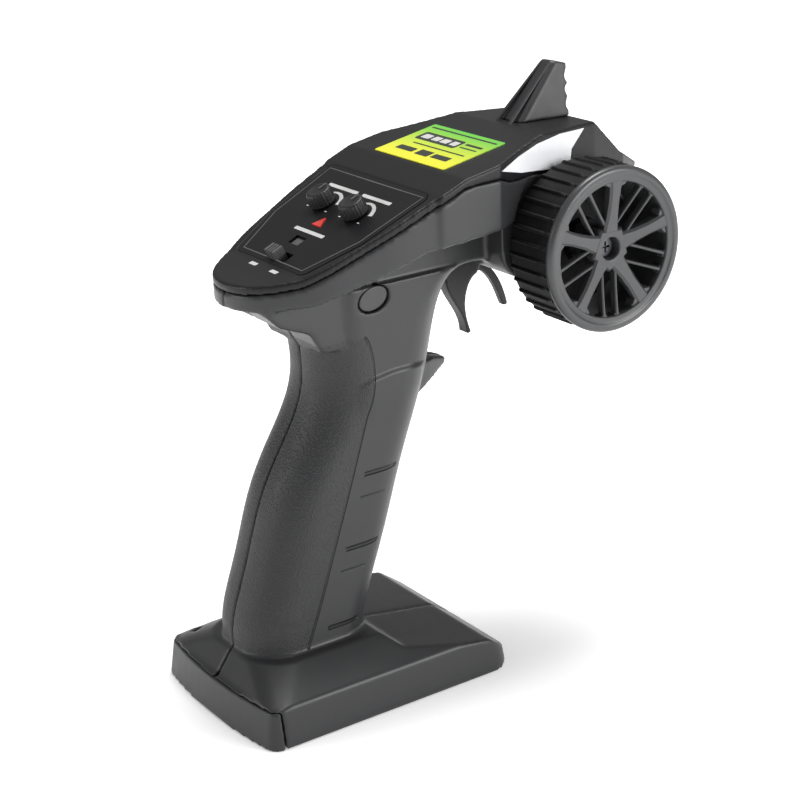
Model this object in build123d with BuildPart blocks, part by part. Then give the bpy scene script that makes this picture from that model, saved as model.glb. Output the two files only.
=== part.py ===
from build123d import *
import os
from math import atan2, cos, degrees, radians, sin, tan

# Pistol-grip radio transmitter for a model car: a hollow grip on a flat foot,
# a head with a sloping control panel, a steering wheel on its right side and
# a two-pronged trigger under it.  Millimetres; +Z up, +Y forward, away from
# the user, +X to the right.  The origin is the middle of the foot's underside.

os.makedirs("parts", exist_ok=True)

# ---------------------------------------------------------------- clearances
wall = 2.0                  # moulded wall of the casing
seam = 0.15                 # gap between mouldings that meet
slip = 0.3                  # gap round a part that moves
shaft_fit = 0.05            # radial play of a shaft or screw in its hole
touch = 0.02                # gap between still parts that lie on each other

# ---------------------------------------------------------------------- foot
foot_length = 95.0
foot_width = 69.0
rim_height = 12.6           # top of the foot's rim band
collar_height = 20.0        # where the ramp meets the grip
hood_height = 15.8          # front hood, where it leaves the grip
brow_height = 11.2          # front hood, at its brow
foot_corner = 10.0
rim_draft = 9.0             # degrees the rim leans inwards
tail_bow = 3.2              # how far the tail wall bulges backwards
foot_rear = -foot_length / 2
foot_front = foot_length / 2
foot_half = foot_width / 2

# ---------------------------------------------------------------------- grip
grip_width = 34.0
grip_corner = 14.5
# Height, rear and front of the grip at each station, foot to head.
grip_stations = [
    (wall, -40.0, 3.0),
    (22.0, -37.6, 7.0),
    (42.0, -33.0, 13.2),
    (62.0, -26.4, 20.2),
    (82.0, -16.2, 27.4),
    (102.0, -7.2, 34.6),
    (122.0, -8.6, 40.2),
    (128.0, -8.8, 44.2),
    (132.0, -9.0, 50.0),
]
grip_half = grip_width / 2

# ---------------------------------------------------------------------- head
nose_y = -32.0
head_half = 32.0            # half width at the shoulders
neck_half = 15.5
housing_half = 23.8         # half width of the steering housing
housing_rear = 53.0
housing_bottom = 125.4
housing_round = 10.0
prow_y = 127.5
panel_foot = (-17.0, 140.6)     # where the control panel's slope starts
panel_head = (25.7, 159.6)      # where it ends
cover_depth = 2.8           # how far the cover's edge reaches down
crown_line = [(34.6, 163.2), (70.0, 169.6), (95.0, 168.9), (110.5, 155.8), (prow_y, 147.6)]
top_line = [(nose_y, 138.0), (-24.0, 139.2), panel_foot, panel_head] + crown_line
# Line where the top cover meets the casing; ahead of the shoulders it is a ledge.
ledge_line = [(housing_rear, 158.6), (100.0, 155.8), (112.0, 151.0), (prow_y - 6.0, 147.6)]
crease_line = [(nose_y, 130.0), (-14.0, 132.0), (6.0, 138.0), (21.0, 143.0), (56.0, 146.0)]
nose_line = [(12.5, -28.0), (19.8, -20.0)]
flank_line = [(head_half, 47.0), (28.0, 56.0), (23.8, 67.0), (21.0, 79.0), (17.5, 95.0), (11.5, 112.0)]
shoulder_line = [(24.5, -11.0), (27.4, 1.0), (29.8, 13.0), (31.2, 25.0), (head_half, 38.0)]

# --------------------------------------------------------------------- wheel
wheel_radius = 26.0
wheel_width = 20.6
wheel_y = 80.0
wheel_z = 135.7
wheel_gap = 1.4             # wheel to housing
arch_gap = 1.6              # wheel to the arch over it
tyre_depth = 2.6
rim_lip = 3.6               # radial width of the rim's face ring
rim_wall = 1.6
hub_radius = 5.6
hub_recess = 2.6            # hub face behind the rim face
web_radius = 18.6           # round web behind the spokes
web_thickness = 1.4
spoke_width = 5.0
spoke_depth = 3.0
twin_width = 1.0
twin_gap = 5.2
spoke_start = 15.0          # degrees from forward to the first main spoke
spokes = 5
rib_count = 36
rib_width = 1.3
rib_depth = 0.7
shaft_radius = 3.0
wheel_inner = housing_half + wheel_gap
wheel_outer = wheel_inner + wheel_width
hub_face = wheel_outer - hub_recess

# ------------------------------------------------------------------- trigger
trigger_y = 57.0
trigger_z = 134.5
trigger_width = 5.2
prong_width = 2.8
trigger_hub = 5.0
spindle_radius = 1.5

# ------------------------------------------------------------------- battery
cell_diameter = 10.5
cell_length = 44.5
cell_count = 4
cell_pitch = 11.0
floor_thickness = 1.6       # battery door
box_wall = 1.2
contact_sheet = 0.5
contact_room = 2.6          # space for a sprung contact at each end
bay_front = 9.0

# ------------------------------------------------------------------- controls
knob_radius = 4.2
knob_height = 4.8
knob_spacing = 18.0
knob_y = 10.0
panel_sheet = 0.8
switch_y = -12.5
switch_x = 1.2
switch_travel = 4.0
bind_y = -5.5
led_y = 2.6
board_thickness = 1.6
board_drop = 9.0            # panel board below the panel's face
side_button_y = 10.0
side_button_z = 128.0

# --------------------------------------------------------------------- screws
screw_radius = 1.25
screw_head = 2.4
boss_radius = 3.4
# Where the two casing halves are screwed together, as (y, z).
shell_screw_points = [(-22.0, 36.0), (-6.0, 74.0), (16.0, 112.0), (32.0, 152.0), (112.0, 140.0)]


def finish(piece, name):
    """Label a finished piece and write its STEP file."""
    piece.part.label = name
    export_step(piece.part, f"parts/{name}.step")


# ============================================================ outer forms
def pulled_in(points, inset):
    """Outline points moved inwards; the outline starts and ends on the line x = 0."""
    moved = [(0, points[0][1] + inset)]
    for before, here, after in zip(points, points[1:], points[2:]):
        run = Vector(after[0] - before[0], after[1] - before[1]).normalized()
        moved.append((here[0] - inset * run.Y, here[1] + inset * run.X))
    closing = Vector(points[-1][0] - points[-2][0], points[-1][1] - points[-2][1]).normalized()
    moved.append((0, points[-1][1] - inset / abs(closing.X)))
    return moved


def head_outline(inset):
    """Plan outline of the head: round nose, wide shoulders, pointed prow."""
    points = pulled_in([(0, nose_y)] + nose_line + shoulder_line + flank_line + [(0, prow_y)], inset)
    shoulder = len(nose_line) + len(shoulder_line)
    with BuildSketch() as outline:
        with BuildLine():
            Spline(*points[: shoulder + 1], tangents=[(1, 0), (0, 1)])
            Polyline(*points[shoulder:])
            mirror(about=Plane.YZ)
        make_face()
    return outline.sketch


def nearest_corner(x, y):
    """The corner of the sketch being drawn that lies nearest to a place."""
    return BuildSketch._get_context().vertices().sort_by_distance((x, y, 0))[0]


def wing_form(inset):
    """Head above its lower crease."""
    with BuildPart() as form:
        with BuildSketch(Plane.XY.offset(100)):
            add(head_outline(inset))
        extrude(amount=100)
        with BuildSketch(Plane.YZ):
            with BuildLine():
                lower = [(prow_y - 4.0, 144.0)] + crease_line[::-1]
                Polyline(*top_line, *lower, close=True)
            make_face()
            if inset > 0:
                offset(amount=-inset, kind=Kind.INTERSECTION)
        extrude(amount=2 * head_half, both=True, mode=Mode.INTERSECT)
    return form.part


def housing_form(inset):
    """Steering housing under the front of the head."""
    with BuildPart() as form:
        with BuildSketch(Plane.YZ):
            with BuildLine():
                Polyline(
                    *ledge_line,
                    (prow_y - 4.5, 143.0),
                    (106.0, housing_bottom),
                    (housing_rear, housing_bottom),
                    close=True,
                )
            make_face()
            fillet(nearest_corner(housing_rear, housing_bottom), housing_round)
            if inset > 0:
                offset(amount=-inset, kind=Kind.INTERSECTION)
        extrude(amount=housing_half - inset, both=True)
        with BuildSketch(Plane.XY.offset(housing_bottom)):
            with BuildLine():
                Polyline(
                    (housing_half - inset, housing_rear),
                    (housing_half - inset, 97.0),
                    (14.0 - inset, 117.0 - inset),
                    (0, prow_y - 4.0 - inset),
                    (inset - 14.0, 117.0 - inset),
                    (inset - housing_half, 97.0),
                    (inset - housing_half, housing_rear),
                    close=True,
                )
            make_face()
        extrude(amount=60, mode=Mode.INTERSECT)
    return form.part


def neck_form(inset):
    """Neck between the grip and the head, with the keel under the nose."""
    with BuildPart() as form:
        with BuildSketch(Plane.YZ):
            with BuildLine():
                Polyline(
                    (-30.0, 133.0),
                    (-22.0, 125.0),
                    (-12.0, 121.0),
                    (-8.0, 114.0),
                    (29.5, 114.0),
                    (31.0, 120.3),
                    (33.4, 124.1),
                    (35.7, 127.4),
                    (38.6, 129.5),
                    (42.4, 131.2),
                    (47.0, 131.8),
                    (52.5, 131.4),
                    (55.5, 129.2),
                    (64.0, 126.9),
                    (64.0, 154.0),
                    (10.0, 146.0),
                    close=True,
                )
            make_face()
            if inset > 0:
                offset(amount=-inset, kind=Kind.INTERSECTION)
        extrude(amount=neck_half - inset, both=True)
        with BuildSketch(Plane.XY.offset(110)):
            add(head_outline(inset))
        extrude(amount=60, mode=Mode.INTERSECT)
    return form.part


def grip_form(inset):
    """Grip from the foot up into the neck."""
    with BuildPart() as form:
        for height, rear, front in grip_stations:
            with BuildSketch(Plane.XY.offset(height)):
                with Locations((0, (rear + front) / 2)):
                    RectangleRounded(grip_width - 2 * inset, front - rear - 2 * inset, grip_corner - inset)
        loft()
    return form.part


def foot_form(inset):
    """Foot: a leaning rim band, a ramp up to the grip and a front hood."""
    with BuildPart() as form:
        with BuildSketch():
            with BuildLine():
                tail = ThreePointArc(
                    (-foot_half, foot_rear + tail_bow), (0, foot_rear), (foot_half, foot_rear + tail_bow)
                )
                Polyline(tail @ 1, (foot_half, foot_front), (-foot_half, foot_front), tail @ 0)
            make_face()
            fillet(BuildSketch._get_context().vertices().group_by(Axis.Y)[-1], foot_corner)
            fillet(BuildSketch._get_context().vertices().group_by(Axis.Y)[0], foot_corner / 2)
            if inset > 0:
                offset(amount=-inset)
        extrude(amount=rim_height, taper=rim_draft)
        lean = rim_height * tan(radians(rim_draft))
        with BuildSketch(Plane.XY.offset(rim_height)):
            across_top = foot_width - 2 * (lean + inset)
            along_top = foot_length - 2 * (lean + inset) - tail_bow
            RectangleRounded(across_top, along_top, foot_corner - 2)
        with BuildSketch(Plane.XY.offset(collar_height + 2)):
            with Locations((0, -15.0)):
                RectangleRounded(grip_width - 2 * inset, 44.0 - 2 * inset, grip_corner - inset)
        loft()
        with BuildSketch(Plane.YZ):
            with BuildLine():
                Polyline(
                    (foot_rear - 1, 0),
                    (foot_rear - 1, 12.0),
                    (foot_rear + 0.5, rim_height + 0.8),
                    (-39.5, collar_height),
                    (4.0, collar_height),
                    (9.0, hood_height),
                    (38.0, brow_height),
                    (foot_front - 2.0, 6.0),
                    (foot_front + 1, 0),
                    close=True,
                )
            make_face()
            if inset > 0:
                offset(amount=-inset, kind=Kind.INTERSECTION)
        extrude(amount=foot_width, both=True, mode=Mode.INTERSECT)
    return form.part


def finger_rest(inset):
    """Spur on the front of the grip that the middle finger sits under."""
    with BuildPart() as form:
        with BuildSketch(Plane.YZ):
            with BuildLine():
                Polyline(
                    (28.0, 100.6),
                    (38.6, 100.2),
                    (45.7, 98.0),
                    (45.4, 96.0),
                    (36.6, 93.0),
                    (26.0, 89.0),
                    close=True,
                )
            make_face()
            fillet(nearest_corner(45.6, 97.0), 0.8)
        extrude(amount=neck_half, both=True)
        with BuildSketch(Plane.XY.offset(80)):
            with BuildLine():
                root = Polyline((-8.5 + inset, 20.0), (8.5 - inset, 20.0))
                right = Spline(root @ 1, (8.0 - inset, 33.0), (5.0, 40.0), (2.2, 46.0))
                tip = Line(right @ 1, (-2.2, 46.0))
                Spline(tip @ 1, (-5.0, 40.0), (inset - 8.0, 33.0), root @ 0)
            make_face()
        extrude(amount=30, mode=Mode.INTERSECT)
    return form.part


seated = (Align.CENTER, Align.CENTER, Align.MIN)


def across(y, z, radius, start, end):
    """Round bar that runs along X from start to end."""
    return Pos(start, y, z) * Rot(0, 90, 0) * Cylinder(radius, end - start, align=seated, mode=Mode.PRIVATE)


def upright(x, y, radius, start, end):
    """Round bar that runs along Z from start to end."""
    return Pos(x, y, start) * Cylinder(radius, end - start, align=seated, mode=Mode.PRIVATE)


def beyond(line, height):
    """Closed outline of everything above a line of (y, z) points."""
    return line + [(line[-1][0], height), (line[0][0], height)]


# ============================================================ panel frame
panel_slope = degrees(atan2(panel_head[1] - panel_foot[1], panel_head[0] - panel_foot[0]))
panel_length = (panel_head[0] - panel_foot[0]) / cos(radians(panel_slope))
panel_plane = Plane(
    origin=(0, panel_foot[0], panel_foot[1]),
    x_dir=(1, 0, 0),
    z_dir=(0, -sin(radians(panel_slope)), cos(radians(panel_slope))),
)


def along_panel(y):
    """Distance up the panel's slope of a point that lies at this Y."""
    return (y - panel_foot[0]) / cos(radians(panel_slope))


def on_panel(x, y, height):
    """Location on the panel: across it, up its slope to Y, and off its face."""
    return panel_plane.location * Location((x, along_panel(y), height))


# ============================================================ casing halves
with BuildPart() as outer:
    add(grip_form(0))
    add(neck_form(0))
    add(wing_form(0))
    add(housing_form(0))
    add(foot_form(0))
    add(finger_rest(0))
    add(across(wheel_y, wheel_z, wheel_radius + arch_gap, housing_half, 2 * head_half), mode=Mode.SUBTRACT)

with BuildPart() as cavity:
    add(grip_form(wall))
    add(neck_form(wall))
    add(wing_form(wall))
    add(housing_form(wall))
    add(foot_form(wall))
    arch = across(wheel_y, wheel_z, wheel_radius + arch_gap + wall, housing_half - wall, 2 * head_half)
    add(arch, mode=Mode.SUBTRACT)

boss_reach = 9.0            # how far a boss stands on each side of the middle
bush_length = 8.0
bush_radius = 5.0
bush_start = housing_half - bush_length
spindle_reach = 12.0
pot_depth = 7.0
pot_radius = 8.0
pot_back = -9.0
throttle_pot_radius = 3.0
throttle_pot_back = -13.0
main_board_x = -15.6
main_board_low = (61.5, 128.6)
main_board_high = (106.0, 151.0)
board_posts = [(64.5, 131.5), (103.0, 131.5), (64.5, 148.0), (103.0, 148.0)]
cover_posts = [(18.5, 0.0, 140.5), (25.0, 42.0, 149.0)]
side_board_x = 3.0
box_roof = 13.7             # top of the battery box, where its seats stand
box_seats = [(20.0, -18.0), (20.0, 2.0)]

with BuildPart() as bosses:
    for y, z in shell_screw_points:
        add(across(y, z, boss_radius, -2 * head_half, 2 * head_half))
    add(across(wheel_y, wheel_z, bush_radius + 2.2, bush_start, housing_half))
    add(across(wheel_y, wheel_z, 4.0, -housing_half, pot_back - touch))
    add(across(trigger_y, trigger_z, 4.0, trigger_width / 2 + 4.4, housing_half))
    add(across(trigger_y, trigger_z, 4.0, -housing_half, throttle_pot_back - touch))
    for y, z in board_posts:
        add(across(y, z, 2.4, -housing_half, main_board_x - touch))
    for x, y, z in cover_posts:
        add(upright(x, y, 3.0, 120.0, z - touch))
        add(upright(-x, y, 3.0, 120.0, z - touch))
    for x, y in box_seats:
        add(upright(x, y, 1.8, box_roof + touch, 24.0))
        add(upright(-x, y, 1.8, box_roof + touch, 24.0))
    for y in (side_button_y - 5.5, side_button_y + 5.5):
        add(across(y, side_button_z - 6.4, 1.6, side_board_x + board_thickness + touch, neck_half))
    add(outer.part, mode=Mode.INTERSECT)

with BuildPart() as openings:
    for y, z in shell_screw_points:
        add(across(y, z, screw_radius + shaft_fit, -boss_reach, boss_reach))
        add(across(y, z, screw_head + slip, -2 * head_half, -boss_reach))
    add(across(wheel_y, wheel_z, bush_radius + touch, bush_start - 1, housing_half + 1))
    add(across(trigger_y, trigger_z, spindle_radius + shaft_fit, 0, spindle_reach + slip))
    # Slot that the trigger comes out of.
    with BuildSketch(Plane.YZ):
        with BuildLine():
            Polyline((37.6, 113.0), (71.0, 113.0), (71.0, 136.0), (46.6, 136.0), (37.6, 124.0), close=True)
        make_face()
    extrude(amount=trigger_width / 2 + 0.8, both=True)
    # Oval hole of the side button.
    with BuildSketch(Plane.YZ.offset(neck_half - wall - 0.5)):
        with Locations(Location((side_button_y, side_button_z), 16)):
            Ellipse(5.2 + slip, 3.6 + slip)
    extrude(amount=wall + 6)
    # Two holes with a bar between them, for a wrist strap.
    with BuildSketch(Plane.XY.offset(6)):
        with Locations((-29.4, -33.0), (-26.0, -36.4)):
            Circle(1.5)
    extrude(amount=12)
    for x, y, z in cover_posts:
        for side in (-1, 1):
            add(upright(side * x, y, screw_radius + shaft_fit, 120.0, z + 1))
            add(upright(side * x, y, screw_head + slip, 120.0, z - 3.0))

with BuildPart() as casing:
    add(outer.part)
    add(cavity.part, mode=Mode.SUBTRACT)
    add(bosses.part)
    add(openings.part, mode=Mode.SUBTRACT)

# The lid of the foot takes the tail wall and a floor plate.
tail_y = foot_rear + 7.2
tail_top = rim_height - 0.8
bay_half = 27.0
bay_rear = tail_y - 1.0


def lid_zone(gap):
    """Space of the battery door, larger all round by a gap."""
    with BuildPart() as zone:
        with BuildSketch(Plane.XY.offset(-1)):
            with Locations((0, foot_rear - 5)):
                Rectangle(2 * foot_width, 2 * (tail_y - foot_rear + 5 + gap))
        extrude(amount=1 + tail_top + gap)
        with BuildSketch(Plane.XY.offset(-1)):
            with Locations((0, (bay_rear + bay_front) / 2)):
                Rectangle(2 * (bay_half + gap), bay_front - bay_rear + 2 * gap)
        extrude(amount=1 + floor_thickness + gap + 0.2)
    return zone.part


cover_line = [(y, z - cover_depth) for y, z in top_line[:5]] + [(47.0, 160.9)] + ledge_line
cover_line = [(nose_y - 2, cover_line[0][1])] + cover_line + [(prow_y + 2, ledge_line[-1][1] - 3.0)]


def cover_zone(lift):
    """Space above the line where the top cover sits, lifted a little."""
    with BuildPart() as zone:
        with BuildSketch(Plane.YZ):
            with BuildLine():
                Polyline(*beyond([(y, z + lift) for y, z in cover_line], 190.0), close=True)
            make_face()
        extrude(amount=2 * head_half, both=True)
    return zone.part


with BuildPart() as halves:
    add(casing.part)
    add(lid_zone(slip), mode=Mode.SUBTRACT)
    add(cover_zone(0), mode=Mode.SUBTRACT)

with BuildPart() as right_shell:
    add(halves.part)
    split(bisect_by=Plane.YZ.offset(seam / 2), keep=Keep.TOP)
finish(right_shell, "right_shell")

with BuildPart() as left_shell:
    add(halves.part)
    split(bisect_by=Plane.YZ.offset(-seam / 2), keep=Keep.BOTTOM)
finish(left_shell, "left_shell")

# ============================================================ top cover
board_half = 13.2
board_low = 1.5             # distances up the slope
board_high = 44.0
knob_stem = 2.4
knob_seat = -4.0            # where the knob's stem enters its control
lens_side = 5.0
slot_half = (5.4 + switch_travel) / 2 + slip
nub = (5.4, 3.6)
board_screw_spots = [(9.5, board_low + 11.5), (9.5, board_high - 3.0)]
fin_foot = (69.4, 94.2)     # rear and front of the fin where it enters the cover
antenna_y = 91.0
antenna_radius = 0.9


def knob_places():
    """The two knobs, left then right, as (x, y)."""
    return [(-knob_spacing / 2, knob_y), (knob_spacing / 2, knob_y)]


def panel_outline(inset):
    """Outline of the control panel's sheet, inset from the head's edge."""
    with BuildSketch() as outline:
        with BuildLine():
            Polyline(
                (19.0 - inset, 1.0 + inset),
                (25.6 - inset, 20.0),
                (27.4 - inset, panel_length - 1.0 - inset),
                (inset - 27.4, panel_length - 1.0 - inset),
                (inset - 25.6, 20.0),
                (inset - 19.0, 1.0 + inset),
                close=True,
            )
        make_face()
        fillet(outline.vertices(), 3.0)
    return outline.sketch


def block(place, width, length, height, align=seated):
    """Box standing at a place."""
    return place * Box(width, length, height, align=align, mode=Mode.PRIVATE)


def post(place, radius, height):
    """Round post standing at a place."""
    return place * Cylinder(radius, height, align=seated, mode=Mode.PRIVATE)


def lens_bar(grow, low, high):
    """Three-sided bar of the lamp's lens, between two heights off the panel."""
    with BuildPart() as bar:
        with BuildSketch(panel_plane.offset(low)):
            with Locations((0, along_panel(led_y))):
                RegularPolygon(lens_side / 1.9 + grow, 3, rotation=90)
        extrude(amount=high - low)
    return bar.part


def panel_holes(play, depth):
    """Bars that open the panel for its knobs, switch, button and lamp."""
    holes = [lens_bar(play / 2, -depth, depth)]
    for x, y in knob_places():
        holes.append(post(on_panel(x, y, -depth), knob_stem + play, 2 * depth))
    holes.append(block(on_panel(switch_x, switch_y, -depth), 2 * slot_half, nub[1] + 2 * play, 2 * depth))
    holes.append(block(on_panel(0, bind_y, -depth), 4.8 + 2 * play, 3.2 + 2 * play, 2 * depth))
    return holes


with BuildPart() as top_cover:
    add(casing.part)
    add(cover_zone(seam), mode=Mode.INTERSECT)
    for x, y, z in cover_posts:
        for side in (-1, 1):
            add(upright(side * x, y, 3.0, z + touch, 190.0) & outer.part)
            add(upright(side * x, y, screw_radius + shaft_fit, z - 1, z + 6.0), mode=Mode.SUBTRACT)
    for x, v in board_screw_spots:
        for side in (-1, 1):
            place = panel_plane.location * Location((side * x, v, -board_drop + touch))
            add(post(place, 2.2, board_drop - 1.2))
            add(post(place, screw_radius + shaft_fit, 5.0), mode=Mode.SUBTRACT)
    with BuildSketch(panel_plane.offset(-panel_sheet)):
        add(panel_outline(-touch))
    extrude(amount=panel_sheet + 2, mode=Mode.SUBTRACT)
    add(panel_holes(slip, wall + 1), mode=Mode.SUBTRACT)
    add(upright(0, antenna_y, antenna_radius + 0.3, 150, 190), mode=Mode.SUBTRACT)
finish(top_cover, "top_cover")

with BuildPart() as control_panel:
    with BuildSketch(panel_plane.offset(-panel_sheet + touch)):
        add(panel_outline(0))
    extrude(amount=panel_sheet - touch)
    add(panel_holes(slip, wall + 1), mode=Mode.SUBTRACT)
finish(control_panel, "control_panel")

# ============================================================ antenna fin
with BuildPart() as antenna_fin:
    with BuildSketch(Plane.XY.offset(164.0)):
        with Locations((0, (fin_foot[0] + fin_foot[1]) / 2)):
            Rectangle(13.2, fin_foot[1] - fin_foot[0])
    with BuildSketch(Plane.XY.offset(187.5)):
        with Locations((0, 92.9)):
            Rectangle(6.8, 4.8)
    loft()
    slanting = antenna_fin.edges().filter_by(Axis.X, reverse=True).group_by(SortBy.LENGTH)[-1]
    chamfer(slanting.sort_by(Axis.Y)[:2], 1.2)
    with BuildSketch(Plane.YZ):
        with BuildLine():
            Polyline((60, 200), (60, 188.2), (87.5, 187.4), (100, 184.4), (100, 200), close=True)
        make_face()
    extrude(amount=20, both=True, mode=Mode.SUBTRACT)
    with BuildSketch(Plane.YZ):
        for y, z in ((96.1, 172.8), (96.3, 177.2), (96.5, 181.6)):
            with Locations((y, z)):
                Circle(2.4)
    extrude(amount=20, both=True, mode=Mode.SUBTRACT)
    with BuildSketch(Plane.YZ):
        with BuildLine():
            Polyline(*[(y, z + touch) for y, z in top_line[4:]], (prow_y, 100), (30, 100), close=True)
        make_face()
    extrude(amount=20, both=True, mode=Mode.SUBTRACT)
    add(upright(0, antenna_y, antenna_radius + shaft_fit, 150, 183.0), mode=Mode.SUBTRACT)
finish(antenna_fin, "antenna_fin")

with BuildPart() as antenna_rod:
    add(upright(0, antenna_y, antenna_radius, 152.0, 182.8))
finish(antenna_rod, "antenna_rod")

# ============================================================ panel controls
with BuildPart() as panel_board:
    with BuildSketch(panel_plane.offset(-board_drop - board_thickness)):
        with Locations((0, (board_low + board_high) / 2)):
            Rectangle(2 * board_half, board_high - board_low)
        with Locations(*[(side * x, v) for x, v in board_screw_spots for side in (-1, 1)]):
            Circle(screw_radius + shaft_fit, mode=Mode.SUBTRACT)
    extrude(amount=board_thickness)
finish(panel_board, "panel_board")

with BuildPart() as panel_board_screws:
    for x, v in board_screw_spots:
        for side in (-1, 1):
            base = panel_plane.location * Location((side * x, v, -board_drop - board_thickness - touch))
            add(post(base, screw_radius, 5.6))
            add(post(base * Pos(0, 0, -1.3), screw_head - 0.2, 1.3))
finish(panel_board_screws, "panel_board_screws")


def on_board(x, y, lift=touch):
    """Location on the panel board's upper face."""
    return on_panel(x, y, -board_drop + lift)


dial_body = board_drop + knob_seat
for side, (x, y) in zip(("left", "right"), knob_places()):
    with BuildPart() as dial:
        add(block(on_board(x, y), 8.4, 9.6, dial_body - slip))
        add(post(on_panel(x, y, knob_seat - 2.5), knob_stem + shaft_fit, 6), mode=Mode.SUBTRACT)
    finish(dial, f"{side}_dial_control")
    with BuildPart() as knob:
        with Locations(on_panel(x, y, 0.4)):
            Cylinder(knob_radius, knob_height, align=seated)
        fillet(knob.edges().filter_by(GeomType.CIRCLE).sort_by(Axis.Z)[-1], 0.6)
        with Locations(on_panel(x, y, knob_seat - 2.3)):
            Cylinder(knob_stem, 0.6 - knob_seat + 2.3, align=seated)
        with Locations(on_panel(x, y, knob_height + 0.4)):
            Box(0.9, 2 * knob_radius + 1, 1.6, mode=Mode.SUBTRACT)
    finish(knob, f"{side}_knob")

with BuildPart() as power_switch_body:
    add(block(on_board(switch_x, switch_y), 13.4, 6.4, 5.4))
    channel = on_panel(switch_x, switch_y, -board_drop + 2.2)
    add(block(channel, 2 * slot_half, nub[1] + 2 * slip, 9), mode=Mode.SUBTRACT)
finish(power_switch_body, "power_switch_body")

with BuildPart() as power_switch_slider:
    with Locations(on_panel(switch_x - switch_travel / 2, switch_y, -board_drop + 2.4)):
        Box(nub[0], nub[1], board_drop - 2.4 + 2.4, align=seated)
    for v in (-1.2, 0, 1.2):
        with Locations(on_panel(switch_x - switch_travel / 2, switch_y, 2.4) * Location((v, 0, 0))):
            Box(0.5, nub[1] + 1, 0.7, mode=Mode.SUBTRACT)
finish(power_switch_slider, "power_switch_slider")

with BuildPart() as bind_switch:
    add(block(on_board(0, bind_y), 6.0, 6.0, 3.4))
finish(bind_switch, "bind_switch")

with BuildPart() as bind_button:
    with Locations(on_panel(0, bind_y, -board_drop + 3.4 + slip + 0.3)):
        Cylinder(1.5, board_drop - 3.4 - 0.6 - 1.4, align=seated)
    with Locations(on_panel(0, bind_y, -0.8)):
        Box(4.8, 3.2, 2.6, align=(Align.CENTER, Align.CENTER, Align.MAX))
    with Locations(on_panel(0, bind_y, -2.5)):
        Box(6.6, 5.0, 0.9, align=(Align.CENTER, Align.CENTER, Align.MAX))
finish(bind_button, "bind_button")

with BuildPart() as led_lens:
    add(lens_bar(0, -2.4, 0.4))
    add(post(on_board(0, led_y), 1.5, board_drop - 2.3))
finish(led_lens, "led_lens")

# ============================================================ side button
with BuildPart() as side_button:
    flange = neck_half - wall - 1.4
    for end, grow in ((neck_half + 0.9, 0.0), (neck_half - wall - slip, 1.1)):
        with BuildSketch(Plane.YZ.offset(flange)):
            with Locations(Location((side_button_y, side_button_z), 16)):
                Ellipse(5.2 + grow, 3.6 + grow)
        extrude(amount=end - flange)
    stem_start = side_board_x + board_thickness + 3.6 + slip + 0.6
    add(across(side_button_y, side_button_z, 1.5, stem_start, neck_half - wall))
finish(side_button, "side_button")

with BuildPart() as side_board:
    with BuildSketch(Plane.YZ.offset(side_board_x)):
        with Locations((side_button_y, side_button_z - 2.4)):
            Rectangle(15.0, 12.0)
    extrude(amount=board_thickness)
finish(side_board, "side_board")

with BuildPart() as side_switch:
    with Locations((side_board_x + board_thickness + touch, side_button_y, side_button_z)):
        Box(3.6, 6.0, 6.0, align=(Align.MIN, Align.CENTER, Align.CENTER))
finish(side_switch, "side_switch")

# ============================================================ steering
shaft_tip = hub_face - 6.0
spoke_back = hub_face - spoke_depth
barrel_outer = wheel_radius - tyre_depth
barrel_inner = barrel_outer - rim_wall
face_ring = 2.2


def on_wheel(x):
    """Sketch plane across the wheel's axis at this X, centred on the axis."""
    return Plane(origin=(x, wheel_y, wheel_z), x_dir=(0, 1, 0), z_dir=(1, 0, 0))


with BuildPart() as wheel_rim:
    with BuildSketch(on_wheel(wheel_inner)):
        Circle(barrel_outer)
        Circle(barrel_inner, mode=Mode.SUBTRACT)
    extrude(amount=wheel_width)
    with BuildSketch(on_wheel(wheel_outer - face_ring)):
        Circle(wheel_radius)
        Circle(wheel_radius - rim_lip, mode=Mode.SUBTRACT)
    extrude(amount=face_ring)
    fillet(wheel_rim.edges().filter_by(GeomType.CIRCLE).sort_by(Axis.X)[-1:], 1.0)
    with BuildSketch(on_wheel(spoke_back)):
        for turn in range(spokes):
            angle = spoke_start + 360 / spokes * turn
            with Locations(Rotation(0, 0, angle)):
                with Locations(((hub_radius + barrel_inner) / 2, 0)):
                    Rectangle(barrel_inner - hub_radius + 2.0, spoke_width)
            with Locations(Rotation(0, 0, angle + 180 / spokes)):
                for offset_y in (-twin_gap / 2, twin_gap / 2):
                    with Locations(((hub_radius + barrel_inner) / 2, offset_y)):
                        Rectangle(barrel_inner - hub_radius + 1.6, twin_width)
    extrude(amount=spoke_depth)
    hub_back = wheel_inner + 1.4
    with BuildSketch(on_wheel(hub_back)):
        Circle(hub_radius)
    extrude(amount=hub_face - hub_back)
    with BuildSketch(on_wheel(hub_back)):
        Circle(web_radius)
    extrude(amount=web_thickness)
    with BuildSketch(on_wheel(hub_face - 4.6)):
        Circle(3.4)
    extrude(amount=5, mode=Mode.SUBTRACT)
    with BuildSketch(on_wheel(hub_face - 13.0)):
        Circle(screw_radius + shaft_fit)
    extrude(amount=12, mode=Mode.SUBTRACT)
    with BuildSketch(on_wheel(wheel_inner)):
        Circle(shaft_radius + touch)
    extrude(amount=hub_face - 6.0 + touch - wheel_inner, mode=Mode.SUBTRACT)
finish(wheel_rim, "wheel_rim")

tyre_end = wheel_outer - face_ring - touch
with BuildPart() as wheel_tyre:
    with BuildSketch(on_wheel(wheel_inner)):
        Circle(wheel_radius - rib_depth)
        with PolarLocations(wheel_radius - rib_depth, rib_count):
            Rectangle(2 * rib_depth - 0.1, rib_width)
        Circle(barrel_outer + touch, mode=Mode.SUBTRACT)
    extrude(amount=tyre_end - wheel_inner)
finish(wheel_tyre, "wheel_tyre")

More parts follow.
